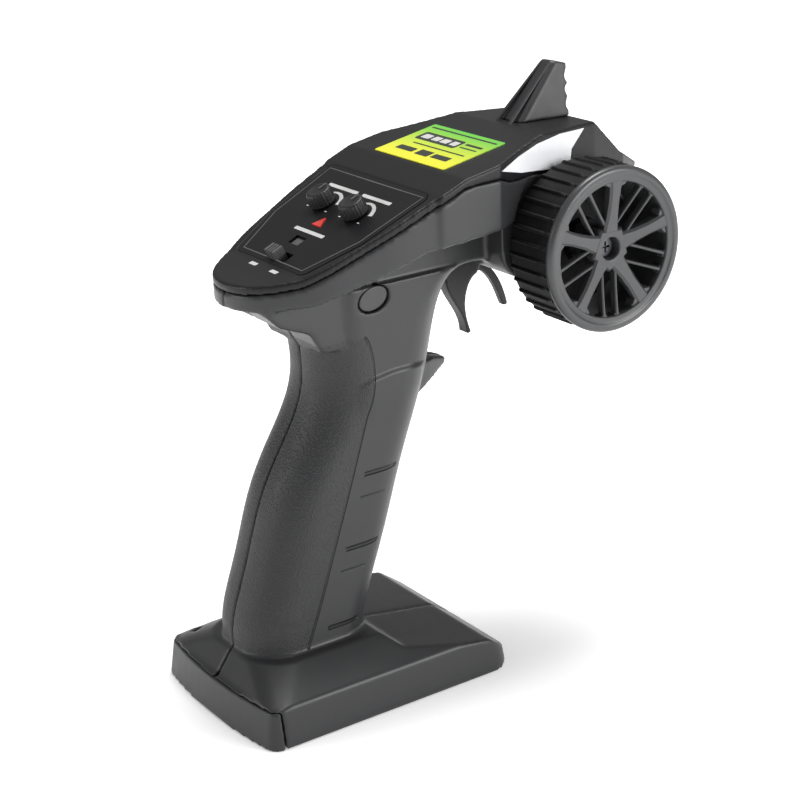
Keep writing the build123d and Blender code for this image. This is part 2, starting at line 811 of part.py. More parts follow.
with BuildPart() as steering_shaft:
    add(across(wheel_y, wheel_z, shaft_radius, pot_back + 3.0, shaft_tip))
    thread_hole = across(wheel_y, wheel_z, screw_radius + shaft_fit, shaft_tip - 9.0, shaft_tip)
    add(thread_hole, mode=Mode.SUBTRACT)
finish(steering_shaft, "steering_shaft")

with BuildPart() as wheel_screw:
    add(across(wheel_y, wheel_z, screw_radius, shaft_tip - 8.0, hub_face - 4.5))
    add(across(wheel_y, wheel_z, 2.9, hub_face - 4.6 + touch, hub_face - 2.8))
    with BuildSketch(on_wheel(hub_face - 3.8)):
        Rectangle(3.4, 0.7)
        Rectangle(0.7, 3.4)
    extrude(amount=2, mode=Mode.SUBTRACT)
finish(wheel_screw, "wheel_screw")

with BuildPart() as shaft_bush:
    add(across(wheel_y, wheel_z, bush_radius, bush_start, housing_half + 0.4))
    add(across(wheel_y, wheel_z, bush_radius + 1.4, housing_half + touch, housing_half + 0.7))
    shaft_hole = across(wheel_y, wheel_z, shaft_radius + shaft_fit, bush_start - 1, housing_half + 2)
    add(shaft_hole, mode=Mode.SUBTRACT)
finish(shaft_bush, "shaft_bush")

cup_start = 2.0
with BuildPart() as spring_cup:
    add(across(wheel_y, wheel_z, 4.6, cup_start, cup_start + 6.5))
    add(across(wheel_y, wheel_z, 7.6, cup_start, cup_start + 1.4))
    add(across(wheel_y, wheel_z, shaft_radius + touch, cup_start - 1, cup_start + 9), mode=Mode.SUBTRACT)
finish(spring_cup, "spring_cup")


def torsion_spring(name, y, z, inner, wire, turns, start, arms):
    """Close-wound torsion spring about an X axis: a sleeve of turns with straight arms."""
    length = wire * turns
    with BuildPart() as spring:
        with BuildSketch(Plane.XZ):
            with Locations((start + length / 2, inner + wire / 2)):
                Rectangle(length, wire)
        revolve(axis=Axis.X)
        for x, angle in ((start + wire / 2, arms[0]), (start + length - wire / 2, arms[1])):
            bend = Pos(x, 0, 0) * Rot(angle, 0, 0) * Pos(0, inner + wire / 2, 0)
            add(post(bend, wire / 2 - 0.06, arms[2]))
    spring.part = Pos(0, y, z) * spring.part
    finish(spring, name)


torsion_spring("steering_spring", wheel_y, wheel_z, 4.9, 0.9, 5, cup_start + 1.8, (10.0, -10.0, 11.0))

with BuildPart() as steering_pot:
    add(across(wheel_y, wheel_z, pot_radius, pot_back, pot_back + pot_depth))
    socket = across(wheel_y, wheel_z, shaft_radius + shaft_fit, pot_back + 2.8, pot_back + pot_depth + 1)
    add(socket, mode=Mode.SUBTRACT)
finish(steering_pot, "steering_pot")

# ============================================================ trigger
with BuildPart() as trigger:
    with BuildSketch(Plane.YZ):
        with BuildLine():
            # Rear blade, arch and front prong in one outline.
            back = Spline((50.0, 131.0), (46.6, 124.5), (47.4, 119.6), (50.6, 113.6), (54.4, 103.6))
            tip = Line(back @ 1, (56.2, 103.8))
            front = Spline(tip @ 1, (54.2, 110.5), (54.6, 117.5), (57.6, 122.4), (61.2, 123.2))
            arch = Spline(front @ 1, (65.0, 119.6), (67.8, 114.6), (69.9, 109.6))
            prong = Line(arch @ 1, (71.7, 109.7))
            outside = Spline(prong @ 1, (70.0, 115.6), (66.9, 121.4), (61.6, 126.4))
            Line(outside @ 1, back @ 0)
        make_face()
        with Locations((trigger_y, trigger_z)):
            Circle(trigger_hub)
        with BuildLine():
            Polyline((51.4, 127.4), (59.4, 125.0), (61.2, 134.0), (52.8, 134.0), close=True)
        make_face()
    extrude(amount=trigger_width / 2, both=True)
    # The prong and the front of the arch are narrower than the blade.
    for side in (-1, 1):
        with BuildSketch(Plane.YZ.offset(side * prong_width / 2)):
            with BuildLine():
                Polyline((57.8, 100), (80, 100), (80, 130), (62.6, 130), (57.8, 121), close=True)
            make_face()
        extrude(amount=side * trigger_width, mode=Mode.SUBTRACT)
    add(across(trigger_y, trigger_z, spindle_radius + touch, -10, 10), mode=Mode.SUBTRACT)
finish(trigger, "trigger")

with BuildPart() as trigger_spindle:
    add(across(trigger_y, trigger_z, spindle_radius, throttle_pot_back + 1.8, spindle_reach))
finish(trigger_spindle, "trigger_spindle")

with BuildPart() as throttle_pot:
    add(across(trigger_y, trigger_z, throttle_pot_radius, throttle_pot_back, throttle_pot_back + pot_depth))
    spindle_hole = across(trigger_y, trigger_z, spindle_radius + shaft_fit, throttle_pot_back + 1.6, 0)
    add(spindle_hole, mode=Mode.SUBTRACT)
finish(throttle_pot, "throttle_pot")

spring_gap = trigger_width / 2 + 0.6
torsion_spring("trigger_spring", trigger_y, trigger_z, 1.9, 0.7, 4, spring_gap, (60.0, 30.0, 6.0))

# ============================================================ main board
with BuildPart() as main_board:
    with BuildSketch(Plane.YZ.offset(main_board_x)):
        board_span = Vector(*main_board_high) - Vector(*main_board_low)
        board_middle = (Vector(*main_board_high) + Vector(*main_board_low)) / 2
        with Locations((board_middle.X, board_middle.Y)):
            Rectangle(board_span.X, board_span.Y)
        with Locations((wheel_y, wheel_z)):
            Circle(4.6, mode=Mode.SUBTRACT)
        with Locations(*board_posts):
            Circle(screw_radius + shaft_fit, mode=Mode.SUBTRACT)
    extrude(amount=board_thickness)
finish(main_board, "main_board")

board_face = main_board_x + board_thickness + touch
with BuildPart() as main_board_screws:
    for y, z in board_posts:
        add(across(y, z, screw_radius, main_board_x, board_face + 0.1))
        add(across(y, z, screw_head - 0.2, board_face, board_face + 1.3))
finish(main_board_screws, "main_board_screws")

with BuildPart() as processor:
    with Locations((board_face, 90.0, 134.5)):
        Box(1.4, 7.0, 7.0, align=(Align.MIN, Align.CENTER, Align.CENTER))
finish(processor, "processor")

with BuildPart() as radio_module:
    with Locations((board_face, 92.0, 145.0)):
        Box(2.6, 14.0, 9.0, align=(Align.MIN, Align.CENTER, Align.CENTER))
    fillet(radio_module.edges().filter_by(Axis.X), 0.8)
finish(radio_module, "radio_module")

# ============================================================ foot and battery
with BuildPart() as battery_door:
    add(casing.part)
    add(lid_zone(0), mode=Mode.INTERSECT)
    with BuildSketch(Plane.XY):
        with Locations((0, (tail_y - 2.0 + bay_front) / 2)):
            Rectangle(2 * bay_half, bay_front - tail_y + 2.0)
    extrude(amount=floor_thickness)
finish(battery_door, "battery_door")

cell_bottom = floor_thickness + slip + 0.2
cell_z = cell_bottom + cell_diameter / 2
first_cell = bay_front - box_wall - 0.6 - cell_diameter / 2
cell_rows = [first_cell - cell_pitch * row for row in range(cell_count)]
box_top = box_roof - 0.9
box_half = cell_length / 2 + contact_room + box_wall
box_rear = cell_rows[-1] - cell_diameter / 2 - 0.6 - box_wall

with BuildPart() as battery_box:
    with BuildSketch(Plane.XY.offset(floor_thickness + slip)):
        with Locations((0, (box_rear + bay_front) / 2)):
            Rectangle(2 * box_half, bay_front - box_rear)
    extrude(amount=box_roof - floor_thickness - slip)
    with BuildSketch(Plane.XY.offset(floor_thickness + slip)):
        with Locations((0, (box_rear + bay_front) / 2)):
            Rectangle(2 * (box_half - box_wall), bay_front - box_rear - 2 * box_wall)
    extrude(amount=box_top - floor_thickness - slip, mode=Mode.SUBTRACT)
finish(battery_box, "battery_box")

for row, y in enumerate(cell_rows):
    heading = 1 if row % 2 == 0 else -1
    with BuildPart() as cell:
        body_end = cell_length / 2 - 1.0
        low, high = sorted((-heading * cell_length / 2, heading * body_end))
        add(across(y, cell_z, cell_diameter / 2, low, high))
        fillet(cell.edges().filter_by(GeomType.CIRCLE), 0.4)
        low, high = sorted((heading * (body_end - 0.5), heading * cell_length / 2))
        add(across(y, cell_z, 1.9, low, high))
    finish(cell, f"battery_cell_{row + 1}")


def contacts(side, groups):
    """Sprung contact plates at one end of the cells, one plate for each group of rows."""
    with BuildPart() as plates:
        wall_face = side * (box_half - box_wall - touch)
        for group in groups:
            ys = [cell_rows[row] for row in group]
            with Locations((wall_face - side * contact_sheet / 2, (ys[0] + ys[-1]) / 2, cell_z)):
                Box(contact_sheet, abs(ys[0] - ys[-1]) + 7.0, 7.0)
            for y in ys:
                tip = cell_length / 2 + touch
                low, high = sorted((side * tip, wall_face))
                add(across(y, cell_z, 1.6, low, high))
    return plates


finish(contacts(1, [(0,), (1, 2), (3,)]), "right_contacts")
finish(contacts(-1, [(0, 1), (2, 3)]), "left_contacts")

# ============================================================ screws
with BuildPart() as shell_screws:
    for y, z in shell_screw_points:
        add(across(y, z, screw_radius, -boss_reach - 0.1, boss_reach - 0.6))
        add(across(y, z, screw_head, -boss_reach - 2.0, -boss_reach - touch))
finish(shell_screws, "shell_screws")

with BuildPart() as cover_screws:
    for x, y, z in cover_posts:
        for side in (-1, 1):
            add(upright(side * x, y, screw_radius, z - 3.1, z + 5.0))
            add(upright(side * x, y, screw_head, z - 5.0, z - 3.0 - touch))
finish(cover_screws, "cover_screws")

# ============================================================ labels
crown_slope = atan2(crown_line[1][1] - crown_line[0][1], crown_line[1][0] - crown_line[0][0])
with BuildPart() as name_label:
    label_plane = Plane(
        origin=(0, crown_line[0][0], crown_line[0][1] + touch),
        x_dir=(1, 0, 0),
        z_dir=(0, -sin(crown_slope), cos(crown_slope)),
    )
    with BuildSketch(label_plane):
        with Locations((0, 13.0)):
            RectangleRounded(37.2, 24.0, 0.6)
    extrude(amount=0.25)
finish(name_label, "name_label")

for side, name in ((1, "right_sticker"), (-1, "left_sticker")):
    with BuildPart() as sticker:
        with BuildSketch(Plane.XY.offset(150)):
            add(head_outline(-0.25))
            add(head_outline(-touch), mode=Mode.SUBTRACT)
        extrude(amount=30)
        with BuildSketch(Plane.YZ):
            with BuildLine():
                Polyline(
                    (47.4, 163.4),
                    (58.0, 160.4),
                    (72.0, 158.2),
                    (82.6, 157.6),
                    (83.4, 162.4),
                    (89.6, 167.8),
                    (78.0, 168.2),
                    (67.0, 167.2),
                    (57.0, 165.6),
                    close=True,
                )
            make_face()
        extrude(amount=side * 2 * head_half, mode=Mode.INTERSECT)
    finish(sticker, name)
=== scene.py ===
"""Looks of a pistol-grip radio transmitter for a model car.

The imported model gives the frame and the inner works.  The pieces a hand or an
eye meets are made here: softened casing mouldings, the steering wheel with its
ribbed tyre, the trim knobs, the antenna fin's ridges and the printed marks.
All lengths are metres once a piece is built; sizes are written in millimetres.
"""

import logging
import math
from dataclasses import dataclass, field
from enum import Enum
from typing import Optional, Sequence

import bmesh
import bpy
import numpy as np
from mathutils import Matrix, Vector


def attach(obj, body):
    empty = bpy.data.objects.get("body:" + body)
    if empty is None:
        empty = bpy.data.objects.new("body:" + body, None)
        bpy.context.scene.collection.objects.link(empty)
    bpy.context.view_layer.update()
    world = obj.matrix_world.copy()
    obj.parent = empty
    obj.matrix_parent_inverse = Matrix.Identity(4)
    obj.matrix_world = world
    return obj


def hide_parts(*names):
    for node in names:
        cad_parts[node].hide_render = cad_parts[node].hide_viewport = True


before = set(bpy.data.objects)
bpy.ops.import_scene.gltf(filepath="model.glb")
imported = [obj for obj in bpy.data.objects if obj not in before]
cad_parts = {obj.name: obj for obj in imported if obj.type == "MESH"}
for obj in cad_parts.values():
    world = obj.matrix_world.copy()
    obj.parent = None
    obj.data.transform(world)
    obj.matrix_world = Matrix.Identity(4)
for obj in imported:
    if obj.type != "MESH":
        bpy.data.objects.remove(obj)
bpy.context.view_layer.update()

MM = 0.001
LOG = logging.getLogger("transmitter")
Colour = tuple[float, float, float]


class Side(Enum):
    """Left or right half of the transmitter, as the sign of X."""

    LEFT = -1
    RIGHT = 1


class Body(Enum):
    """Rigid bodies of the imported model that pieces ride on."""

    CASING = "casing"
    WHEEL = "steering_wheel"
    TRIGGER = "trigger_lever"
    LEFT_KNOB = "left_trim_knob"
    RIGHT_KNOB = "right_trim_knob"
    SIDE_KEY = "side_key"
    HATCH = "battery_hatch"


# --------------------------------------------------------------------- finishes
class Graph:
    """Node tree of one material, with short ways to add the usual nodes."""

    def __init__(self, name: str) -> None:
        """Start a material with a Principled shader and object coordinates."""
        self.material = bpy.data.materials.new(name)
        self.material.use_nodes = True
        self.tree = self.material.node_tree
        self.tree.nodes.clear()
        output = self.tree.nodes.new("ShaderNodeOutputMaterial")
        self.shader = self.tree.nodes.new("ShaderNodeBsdfPrincipled")
        self.tree.links.new(self.shader.outputs[0], output.inputs[0])
        self.place = self.tree.nodes.new("ShaderNodeTexCoord").outputs["Object"]
        split = self.tree.nodes.new("ShaderNodeSeparateXYZ")
        self.tree.links.new(self.place, split.inputs[0])
        self.x, self.y, self.z = split.outputs[0], split.outputs[1], split.outputs[2]

    def feed(self, socket: bpy.types.NodeSocket, value: object) -> None:
        """Link a socket to an output, or write a plain value into it."""
        if isinstance(value, bpy.types.NodeSocket):
            self.tree.links.new(value, socket)
        else:
            socket.default_value = value

    def math(self, operation: str, *values: object) -> bpy.types.NodeSocket:
        """Output of a Math node.

        Args:
            operation: name of the Math node's operation.
            values: its inputs, each an output or a number.

        Returns:
            The node's result.
        """
        node = self.tree.nodes.new("ShaderNodeMath")
        node.operation = operation
        for socket, value in zip(node.inputs, values):
            self.feed(socket, value)
        return node.outputs[0]

    def step(self, value: bpy.types.NodeSocket, start: float, end: float) -> bpy.types.NodeSocket:
        """Smooth rise from 0 at start to 1 at end."""
        node = self.tree.nodes.new("ShaderNodeMapRange")
        node.interpolation_type = "SMOOTHSTEP"
        self.feed(node.inputs["Value"], value)
        rising = start < end
        node.inputs["From Min"].default_value = min(start, end)
        node.inputs["From Max"].default_value = max(start, end)
        node.inputs["To Min"].default_value = 0.0 if rising else 1.0
        node.inputs["To Max"].default_value = 1.0 if rising else 0.0
        return node.outputs[0]

    def product(self, *values: bpy.types.NodeSocket) -> bpy.types.NodeSocket:
        """Product of several masks."""
        result = values[0]
        for value in values[1:]:
            result = self.math("MULTIPLY", result, value)
        return result

    def total(self, *values: bpy.types.NodeSocket) -> bpy.types.NodeSocket:
        """Sum of several heights."""
        result = values[0]
        for value in values[1:]:
            result = self.math("ADD", result, value)
        return result

    def stretched(self, scale: Sequence[float]) -> bpy.types.NodeSocket:
        """Object coordinates scaled differently along each axis."""
        node = self.tree.nodes.new("ShaderNodeMapping")
        self.feed(node.inputs["Vector"], self.place)
        node.inputs["Scale"].default_value = tuple(scale)
        return node.outputs[0]

    def noise(self, size: float, detail: float = 3.0, place: object = None) -> bpy.types.NodeSocket:
        """Cloudy noise.

        Args:
            size: width of one patch, in metres.
            detail: octaves of finer noise.
            place: coordinates, if not plain object coordinates.

        Returns:
            The noise's factor.
        """
        node = self.tree.nodes.new("ShaderNodeTexNoise")
        self.feed(node.inputs["Vector"], self.place if place is None else place)
        node.inputs["Scale"].default_value = 1.0 / size
        node.inputs["Detail"].default_value = detail
        return node.outputs[0]

    def cells(self, size: float, feature: str = "F1") -> bpy.types.NodeSocket:
        """Distance inside a pattern of cells of one size, in metres."""
        node = self.tree.nodes.new("ShaderNodeTexVoronoi")
        node.feature = feature
        self.feed(node.inputs["Vector"], self.place)
        node.inputs["Scale"].default_value = 1.0 / size
        return node.outputs[0]

    def mix(self, factor: object, first: object, second: object) -> bpy.types.NodeSocket:
        """Colour between two colours."""
        node = self.tree.nodes.new("ShaderNodeMix")
        node.data_type = "RGBA"
        self.feed(node.inputs[0], factor)
        for socket, colour in ((node.inputs[6], first), (node.inputs[7], second)):
            self.feed(socket, colour if isinstance(colour, bpy.types.NodeSocket) else (*colour, 1.0))
        return node.outputs[2]

    def between(self, factor: bpy.types.NodeSocket, low: float, high: float) -> bpy.types.NodeSocket:
        """Number between two numbers."""
        return self.math("ADD", self.math("MULTIPLY", factor, high - low), low)

    def curve(self, value: bpy.types.NodeSocket, points: Sequence[tuple[float, float]]) -> bpy.types.NodeSocket:
        """Smooth curve through points given in metres.

        Args:
            value: the curve's input.
            points: (input, output) pairs in rising order of input.

        Returns:
            The curve's output, in metres.
        """
        inputs, outputs = np.array(points).T
        low, high = inputs.min(), inputs.max()
        floor, roof = outputs.min(), outputs.max()
        scaled = self.math("DIVIDE", self.math("SUBTRACT", value, float(low)), float(high - low))
        node = self.tree.nodes.new("ShaderNodeFloatCurve")
        self.feed(node.inputs["Value"], scaled)
        line = node.mapping.curves[0]
        spots = list(zip((inputs - low) / (high - low), (outputs - floor) / (roof - floor)))
        line.points[0].location, line.points[1].location = spots[0], spots[-1]
        for spot in spots[1:-1]:
            line.points.new(*spot)
        node.mapping.update()
        return self.between(node.outputs[0], float(floor), float(roof))

    def bump(self, height: bpy.types.NodeSocket, strength: float = 1.0) -> None:
        """Feed a height in millimetres to the shader's normal."""
        node = self.tree.nodes.new("ShaderNodeBump")
        node.inputs["Strength"].default_value = strength
        node.inputs["Distance"].default_value = MM
        self.feed(node.inputs["Height"], height)
        self.feed(self.shader.inputs["Normal"], node.outputs[0])


def shaded(colour: Colour, share: float) -> Colour:
    """A colour made lighter or darker by a share."""
    return tuple(min(1.0, channel * share) for channel in colour)


@dataclass(frozen=True)
class Finish:
    """Moulded, metal or printed surface with cloudy tone, uneven sheen and fine grain."""

    name: str
    colour: Colour
    roughness: float = 0.5
    metallic: float = 0.0
    coat: float = 0.0
    specular: float = 0.5
    drift: float = 0.08         # share by which the tone drifts
    drift_size: float = 14.0    # mm
    grain: float = 0.02         # mm
    grain_size: float = 0.5     # mm
    streak: tuple[float, float, float] = (1.0, 1.0, 1.0)

    def base(self, graph: Graph) -> bpy.types.NodeSocket:
        """Drifting base colour."""
        cloud = graph.noise(self.drift_size * MM, 4.0, graph.stretched(self.streak))
        return graph.mix(cloud, shaded(self.colour, 1 - self.drift), shaded(self.colour, 1 + self.drift))

    def height(self, graph: Graph) -> bpy.types.NodeSocket:
        """Height of the fine grain, in millimetres."""
        fine = graph.noise(self.grain_size * MM, 2.0, graph.stretched(self.streak))
        return graph.math("MULTIPLY", fine, self.grain)

    def build(self) -> bpy.types.Material:
        """The finish as a material."""
        graph = Graph(self.name)
        shader = graph.shader
        shader.inputs["Metallic"].default_value = self.metallic
        shader.inputs["Specular IOR Level"].default_value = self.specular
        shader.inputs["Coat Weight"].default_value = self.coat
        shader.inputs["Coat Roughness"].default_value = 0.12
        graph.feed(shader.inputs["Base Color"], self.base(graph))
        sheen = graph.noise(self.drift_size * 0.35 * MM, 3.0)
        graph.feed(shader.inputs["Roughness"], graph.between(sheen, self.roughness - 0.06, self.roughness + 0.06))
        graph.bump(self.height(graph))
        return graph.material


@dataclass(frozen=True)
class ShellFinish(Finish):
    """Grey casing plastic with the grip's grooves, finger slots and stippled back; the grooves and slots are painted
    near-black, painted shade in the hollows.
    """

    # (height, Y) of the groove that runs down each side of the grip, mm
    groove: tuple[tuple[float, float], ...] = (
        (20.8, -20.4), (33.5, -15.3), (52.4, -8.5), (71.1, -1.8),
        (89.8, 4.6), (100.9, 8.4), (111.7, 7.9), (117.2, 5.7),
    )
    # (height, rear end, front end, half width, depth) of the finger slots, mm; the depth also sets how dark the slot's
    # painted shade is
    slots: tuple[tuple[float, float, float, float, float], ...] = (
        (73.0, 3.4, 15.6, 0.62, 0.9),
        (49.9, -4.7, 7.2, 0.62, 0.9),
        (25.3, -12.7, -1.6, 0.62, 0.9),
        (65.6, 1.3, 10.2, 0.35, 0.25),
        (42.8, -7.1, 1.4, 0.35, 0.25),
    )
    # (Y, height) of the ledge that runs back from the finger rest, mm
    ledge: tuple[tuple[float, float], ...] = (
        (0.0, 98.6), (5.5, 101.1), (10.6, 102.2), (18.0, 103.0), (30.0, 102.0),
    )

    def build(self) -> bpy.types.Material:
        """Casing plastic with its moulded details."""
        graph = Graph(self.name)
        shader = graph.shader
        shader.inputs["Specular IOR Level"].default_value = self.specular
        on_grip = graph.product(
            graph.step(graph.z, 0.0205, 0.0215),
            graph.step(graph.z, 0.1172, 0.1162),
            graph.step(graph.math("ABSOLUTE", graph.x), 0.0180, 0.0175),
        )
        line = graph.curve(graph.z, [(z * MM, y * MM) for z, y in self.groove])
        away = graph.math("ABSOLUTE", graph.math("SUBTRACT", graph.y, line))
        on_side = graph.step(graph.math("ABSOLUTE", graph.x), 0.0078, 0.0086)
        groove = graph.product(on_grip, on_side, graph.step(away, 0.00062, 0.00022))
        behind = graph.product(on_grip, graph.step(graph.math("SUBTRACT", graph.y, line), -0.0004, -0.0010))
        slots = None
        deep = None
        for height, rear, front, half, depth in self.slots:
            off = graph.math("ABSOLUTE", graph.math("SUBTRACT", graph.z, height * MM))
            mask = graph.product(
                graph.step(off, (half + 0.2) * MM, (half - 0.2) * MM),
                graph.step(graph.y, (rear - 0.3) * MM, (rear + 0.3) * MM),
                graph.step(graph.y, (front + 1.2) * MM, (front - 1.2) * MM),
                graph.step(graph.math("ABSOLUTE", graph.x), 0.009, 0.011),
            )
            hollow = graph.math("MULTIPLY", mask, -depth)
            # how strongly the slot shows its painted shade
            slot_shade = graph.math("MULTIPLY", mask, min(1.0, depth + 0.1))
            slots = mask if slots is None else graph.math("MAXIMUM", slots, slot_shade)
            deep = hollow if deep is None else graph.math("ADD", deep, hollow)
        crest = graph.curve(graph.y, [(y * MM, z * MM) for y, z in self.ledge])
        below = graph.math("SUBTRACT", graph.z, crest)
        ledge = graph.product(
            graph.step(below, 0.0022, -0.0004),
            graph.step(below, -0.0160, -0.0040),
            graph.step(graph.y, 0.0015, 0.0090),
            graph.step(graph.y, 0.0330, 0.0270),
            graph.step(graph.math("ABSOLUTE", graph.x), 0.0090, 0.0130),
        )
        stipple = graph.product(behind, graph.step(graph.cells(0.75 * MM), 0.55, 0.15))
        height = graph.total(
            self.height(graph),
            graph.math("MULTIPLY", groove, -0.55),
            graph.math("MULTIPLY", stipple, 0.10),
            graph.math("MULTIPLY", ledge, 1.1),
            deep,
        )
        # The grooves and finger slots are painted near-black: painted shade in the hollows.
        dark = graph.math("MAXIMUM", graph.math("MULTIPLY", groove, 0.75), slots)
        tone = graph.mix(graph.math("MULTIPLY", behind, 0.25), self.base(graph), shaded(self.colour, 0.7))
        graph.feed(shader.inputs["Base Color"], graph.mix(dark, tone, (0.004, 0.004, 0.005)))
        sheen = graph.between(graph.noise(5 * MM), self.roughness - 0.05, self.roughness + 0.05)
        graph.feed(shader.inputs["Roughness"], graph.math("ADD", sheen, graph.math("MULTIPLY", behind, 0.12)))
        graph.bump(height)
        return graph.material


@dataclass(frozen=True)
class LabelFinish(Finish):
    """Printed film that fades from yellow at the user's end to green."""

    far: Colour = (0.12, 0.56, 0.045)
    start: float = 36.5         # Y where the fade starts, mm
    end: float = 61.0

    def base(self, graph: Graph) -> bpy.types.NodeSocket:
        """Fade along Y with a little unevenness of the ink."""
        fade = graph.step(graph.y, self.start * MM, self.end * MM)
        uneven = graph.math("SUBTRACT", graph.noise(9 * MM), 0.5)
        spread = graph.math("ADD", fade, graph.math("MULTIPLY", uneven, 0.12))
        return graph.mix(spread, self.colour, self.far)


@dataclass(frozen=True)
class BoardFinish(Finish):
    """Circuit board: solder mask with lighter copper runs under it."""

    def base(self, graph: Graph) -> bpy.types.NodeSocket:
        """Green mask crossed by thin lighter runs."""
        runs = graph.step(graph.cells(3.2 * MM, "DISTANCE_TO_EDGE"), 0.10, 0.04)
        return graph.mix(runs, self.colour, shaded(self.colour, 2.1))


@dataclass(frozen=True)
class CellFinish(Finish):
    """Sleeve of a battery cell: dark wrap with a metallic band at one end."""

    band: Colour = (0.75, 0.55, 0.18)

    def base(self, graph: Graph) -> bpy.types.NodeSocket:
        """Wrap colour with a band near the end."""
        end = graph.step(graph.math("ABSOLUTE", graph.x), 0.0145, 0.0150)
        return graph.mix(end, self.colour, self.band)


@dataclass(frozen=True)
class LensFinish(Finish):
    """Clear coloured plastic with a lamp behind it."""

    glow: float = 0.6

    def build(self) -> bpy.types.Material:
        """Lens material that glows a little."""
        material = super().build()
        shader = next(n for n in material.node_tree.nodes if n.type == "BSDF_PRINCIPLED")
        shader.inputs["Emission Color"].default_value = (*self.colour, 1.0)
        shader.inputs["Emission Strength"].default_value = self.glow
        shader.inputs["Transmission Weight"].default_value = 0.15
        return material


FINISHES: dict[str, Finish] = {
    "shell": ShellFinish(
        "shell_grey", (0.026, 0.0265, 0.028), 0.38,
        specular=0.42, grain=0.012, grain_size=0.45, drift=0.06,
    ),
    "cover": Finish(
        "cover_black", (0.0075, 0.0075, 0.0085), 0.42,
        specular=0.30, grain=0.010, grain_size=0.4, drift=0.10,
    ),
    "fin": Finish(
        "fin_black", (0.024, 0.024, 0.026), 0.46,
        grain=0.010, grain_size=0.4, drift=0.10,
    ),
    "panel": Finish(
        "panel_film", (0.006, 0.006, 0.007), 0.40,
        specular=0.25, grain=0.006, grain_size=0.3,
    ),
    "cap": Finish(
        "control_cap", (0.013, 0.013, 0.0145), 0.44,
        specular=0.4, grain=0.014, grain_size=0.35, drift=0.14, drift_size=4.0,
    ),
    "key": Finish(
        "side_key_grey", (0.034, 0.034, 0.036), 0.44,
        grain=0.012, grain_size=0.35, drift=0.10, drift_size=4.0,
    ),
    "screw": Finish(
        "dark_screw", (0.10, 0.10, 0.11), 0.4,
        metallic=1.0, grain=0.01, grain_size=0.25,
    ),
    # Near-black web inside the wheel: painted shade for the wheel's shaded inside.
    "web": Finish(
        "wheel_inside_shade", (0.008, 0.008, 0.009), 0.6,
        specular=0.2, grain=0.012, grain_size=0.4, drift=0.07,
    ),
    "nub": Finish(
        "switch_nub", (0.085, 0.085, 0.088), 0.5,
        grain=0.02, grain_size=0.3, drift=0.12, drift_size=3.0,
    ),
    "rim": Finish("rim_grey", (0.042, 0.043, 0.045), 0.32, grain=0.012, grain_size=0.4, drift=0.07),
    "tyre": Finish(
        "tyre_rubber", (0.0045, 0.0045, 0.005), 0.6,
        specular=0.25, grain=0.03, grain_size=0.6, drift=0.25, drift_size=6.0,
    ),
    "label": LabelFinish("label_film", (0.82, 0.80, 0.02), 0.3, coat=0.4, grain=0.004, drift=0.03),
    "ink": Finish(
        "label_ink", (0.012, 0.016, 0.006), 0.4,
        coat=0.3, grain=0.004, drift=0.2, drift_size=3.0,
    ),
    "print": Finish(
        "white_print", (0.55, 0.55, 0.54), 0.5,
        grain=0.008, grain_size=0.3, drift=0.08, drift_size=2.0,
    ),
    "film": Finish(
        "sticker_film", (0.84, 0.85, 0.87), 0.38,
        coat=0.3, grain=0.012, grain_size=0.5, drift=0.05, drift_size=5.0,
    ),
    "lens": LensFinish(
        "lens_red", (0.42, 0.03, 0.02), 0.25,
        coat=0.5, grain=0.01, drift=0.2, drift_size=2.0,
    ),
    "steel": Finish(
        "plated_steel", (0.52, 0.52, 0.53), 0.32,
        metallic=1.0, grain=0.012, grain_size=0.25, streak=(6, 1, 1),
    ),
    "wire": Finish(
        "spring_wire", (0.30, 0.30, 0.31), 0.3,
        metallic=1.0, grain=0.02, grain_size=0.3, streak=(1, 8, 8),
    ),
    "nickel": Finish(
        "contact_nickel", (0.70, 0.69, 0.66), 0.22,
        metallic=1.0, grain=0.008, grain_size=0.4,
    ),
    "brass": Finish(
        "turned_brass", (0.60, 0.42, 0.16), 0.28,
        metallic=1.0, grain=0.012, grain_size=0.2, streak=(8, 1, 1),
    ),
    "board": BoardFinish(
        "circuit_board", (0.015, 0.10, 0.035), 0.35,
        coat=0.3, grain=0.02, grain_size=0.6,
    ),
    "chip": Finish(
        "chip_epoxy", (0.016, 0.016, 0.017), 0.55,
        grain=0.02, grain_size=0.2, drift=0.15, drift_size=2.0,
    ),
    "inner": Finish(
        "inner_plastic", (0.10, 0.10, 0.105), 0.55,
        grain=0.02, grain_size=0.6, drift=0.1,
    ),
    "cell": CellFinish(
        "cell_sleeve", (0.05, 0.09, 0.22), 0.3,
        coat=0.3, grain=0.006, grain_size=0.8,
    ),
}
BUILT: dict[str, bpy.types.Material] = {}


def finish(key: str) -> bpy.types.Material:
    """The material of a finish, built once."""
    if key not in BUILT:
        BUILT[key] = FINISHES[key].build()
    return BUILT[key]


# --------------------------------------------------------------------- surfaces
@dataclass
class Frame3:
    """A place with three directions, in millimetres."""

    origin: np.ndarray
    across: np.ndarray
    along: np.ndarray
    out: np.ndarray

    def world(self, local: np.ndarray) -> np.ndarray:
        """Local (across, along, out) points as points of the row frame."""
        flat = self.origin + local[..., :1] * self.across + local[..., 1:2] * self.along
        return flat + local[..., 2:] * self.out


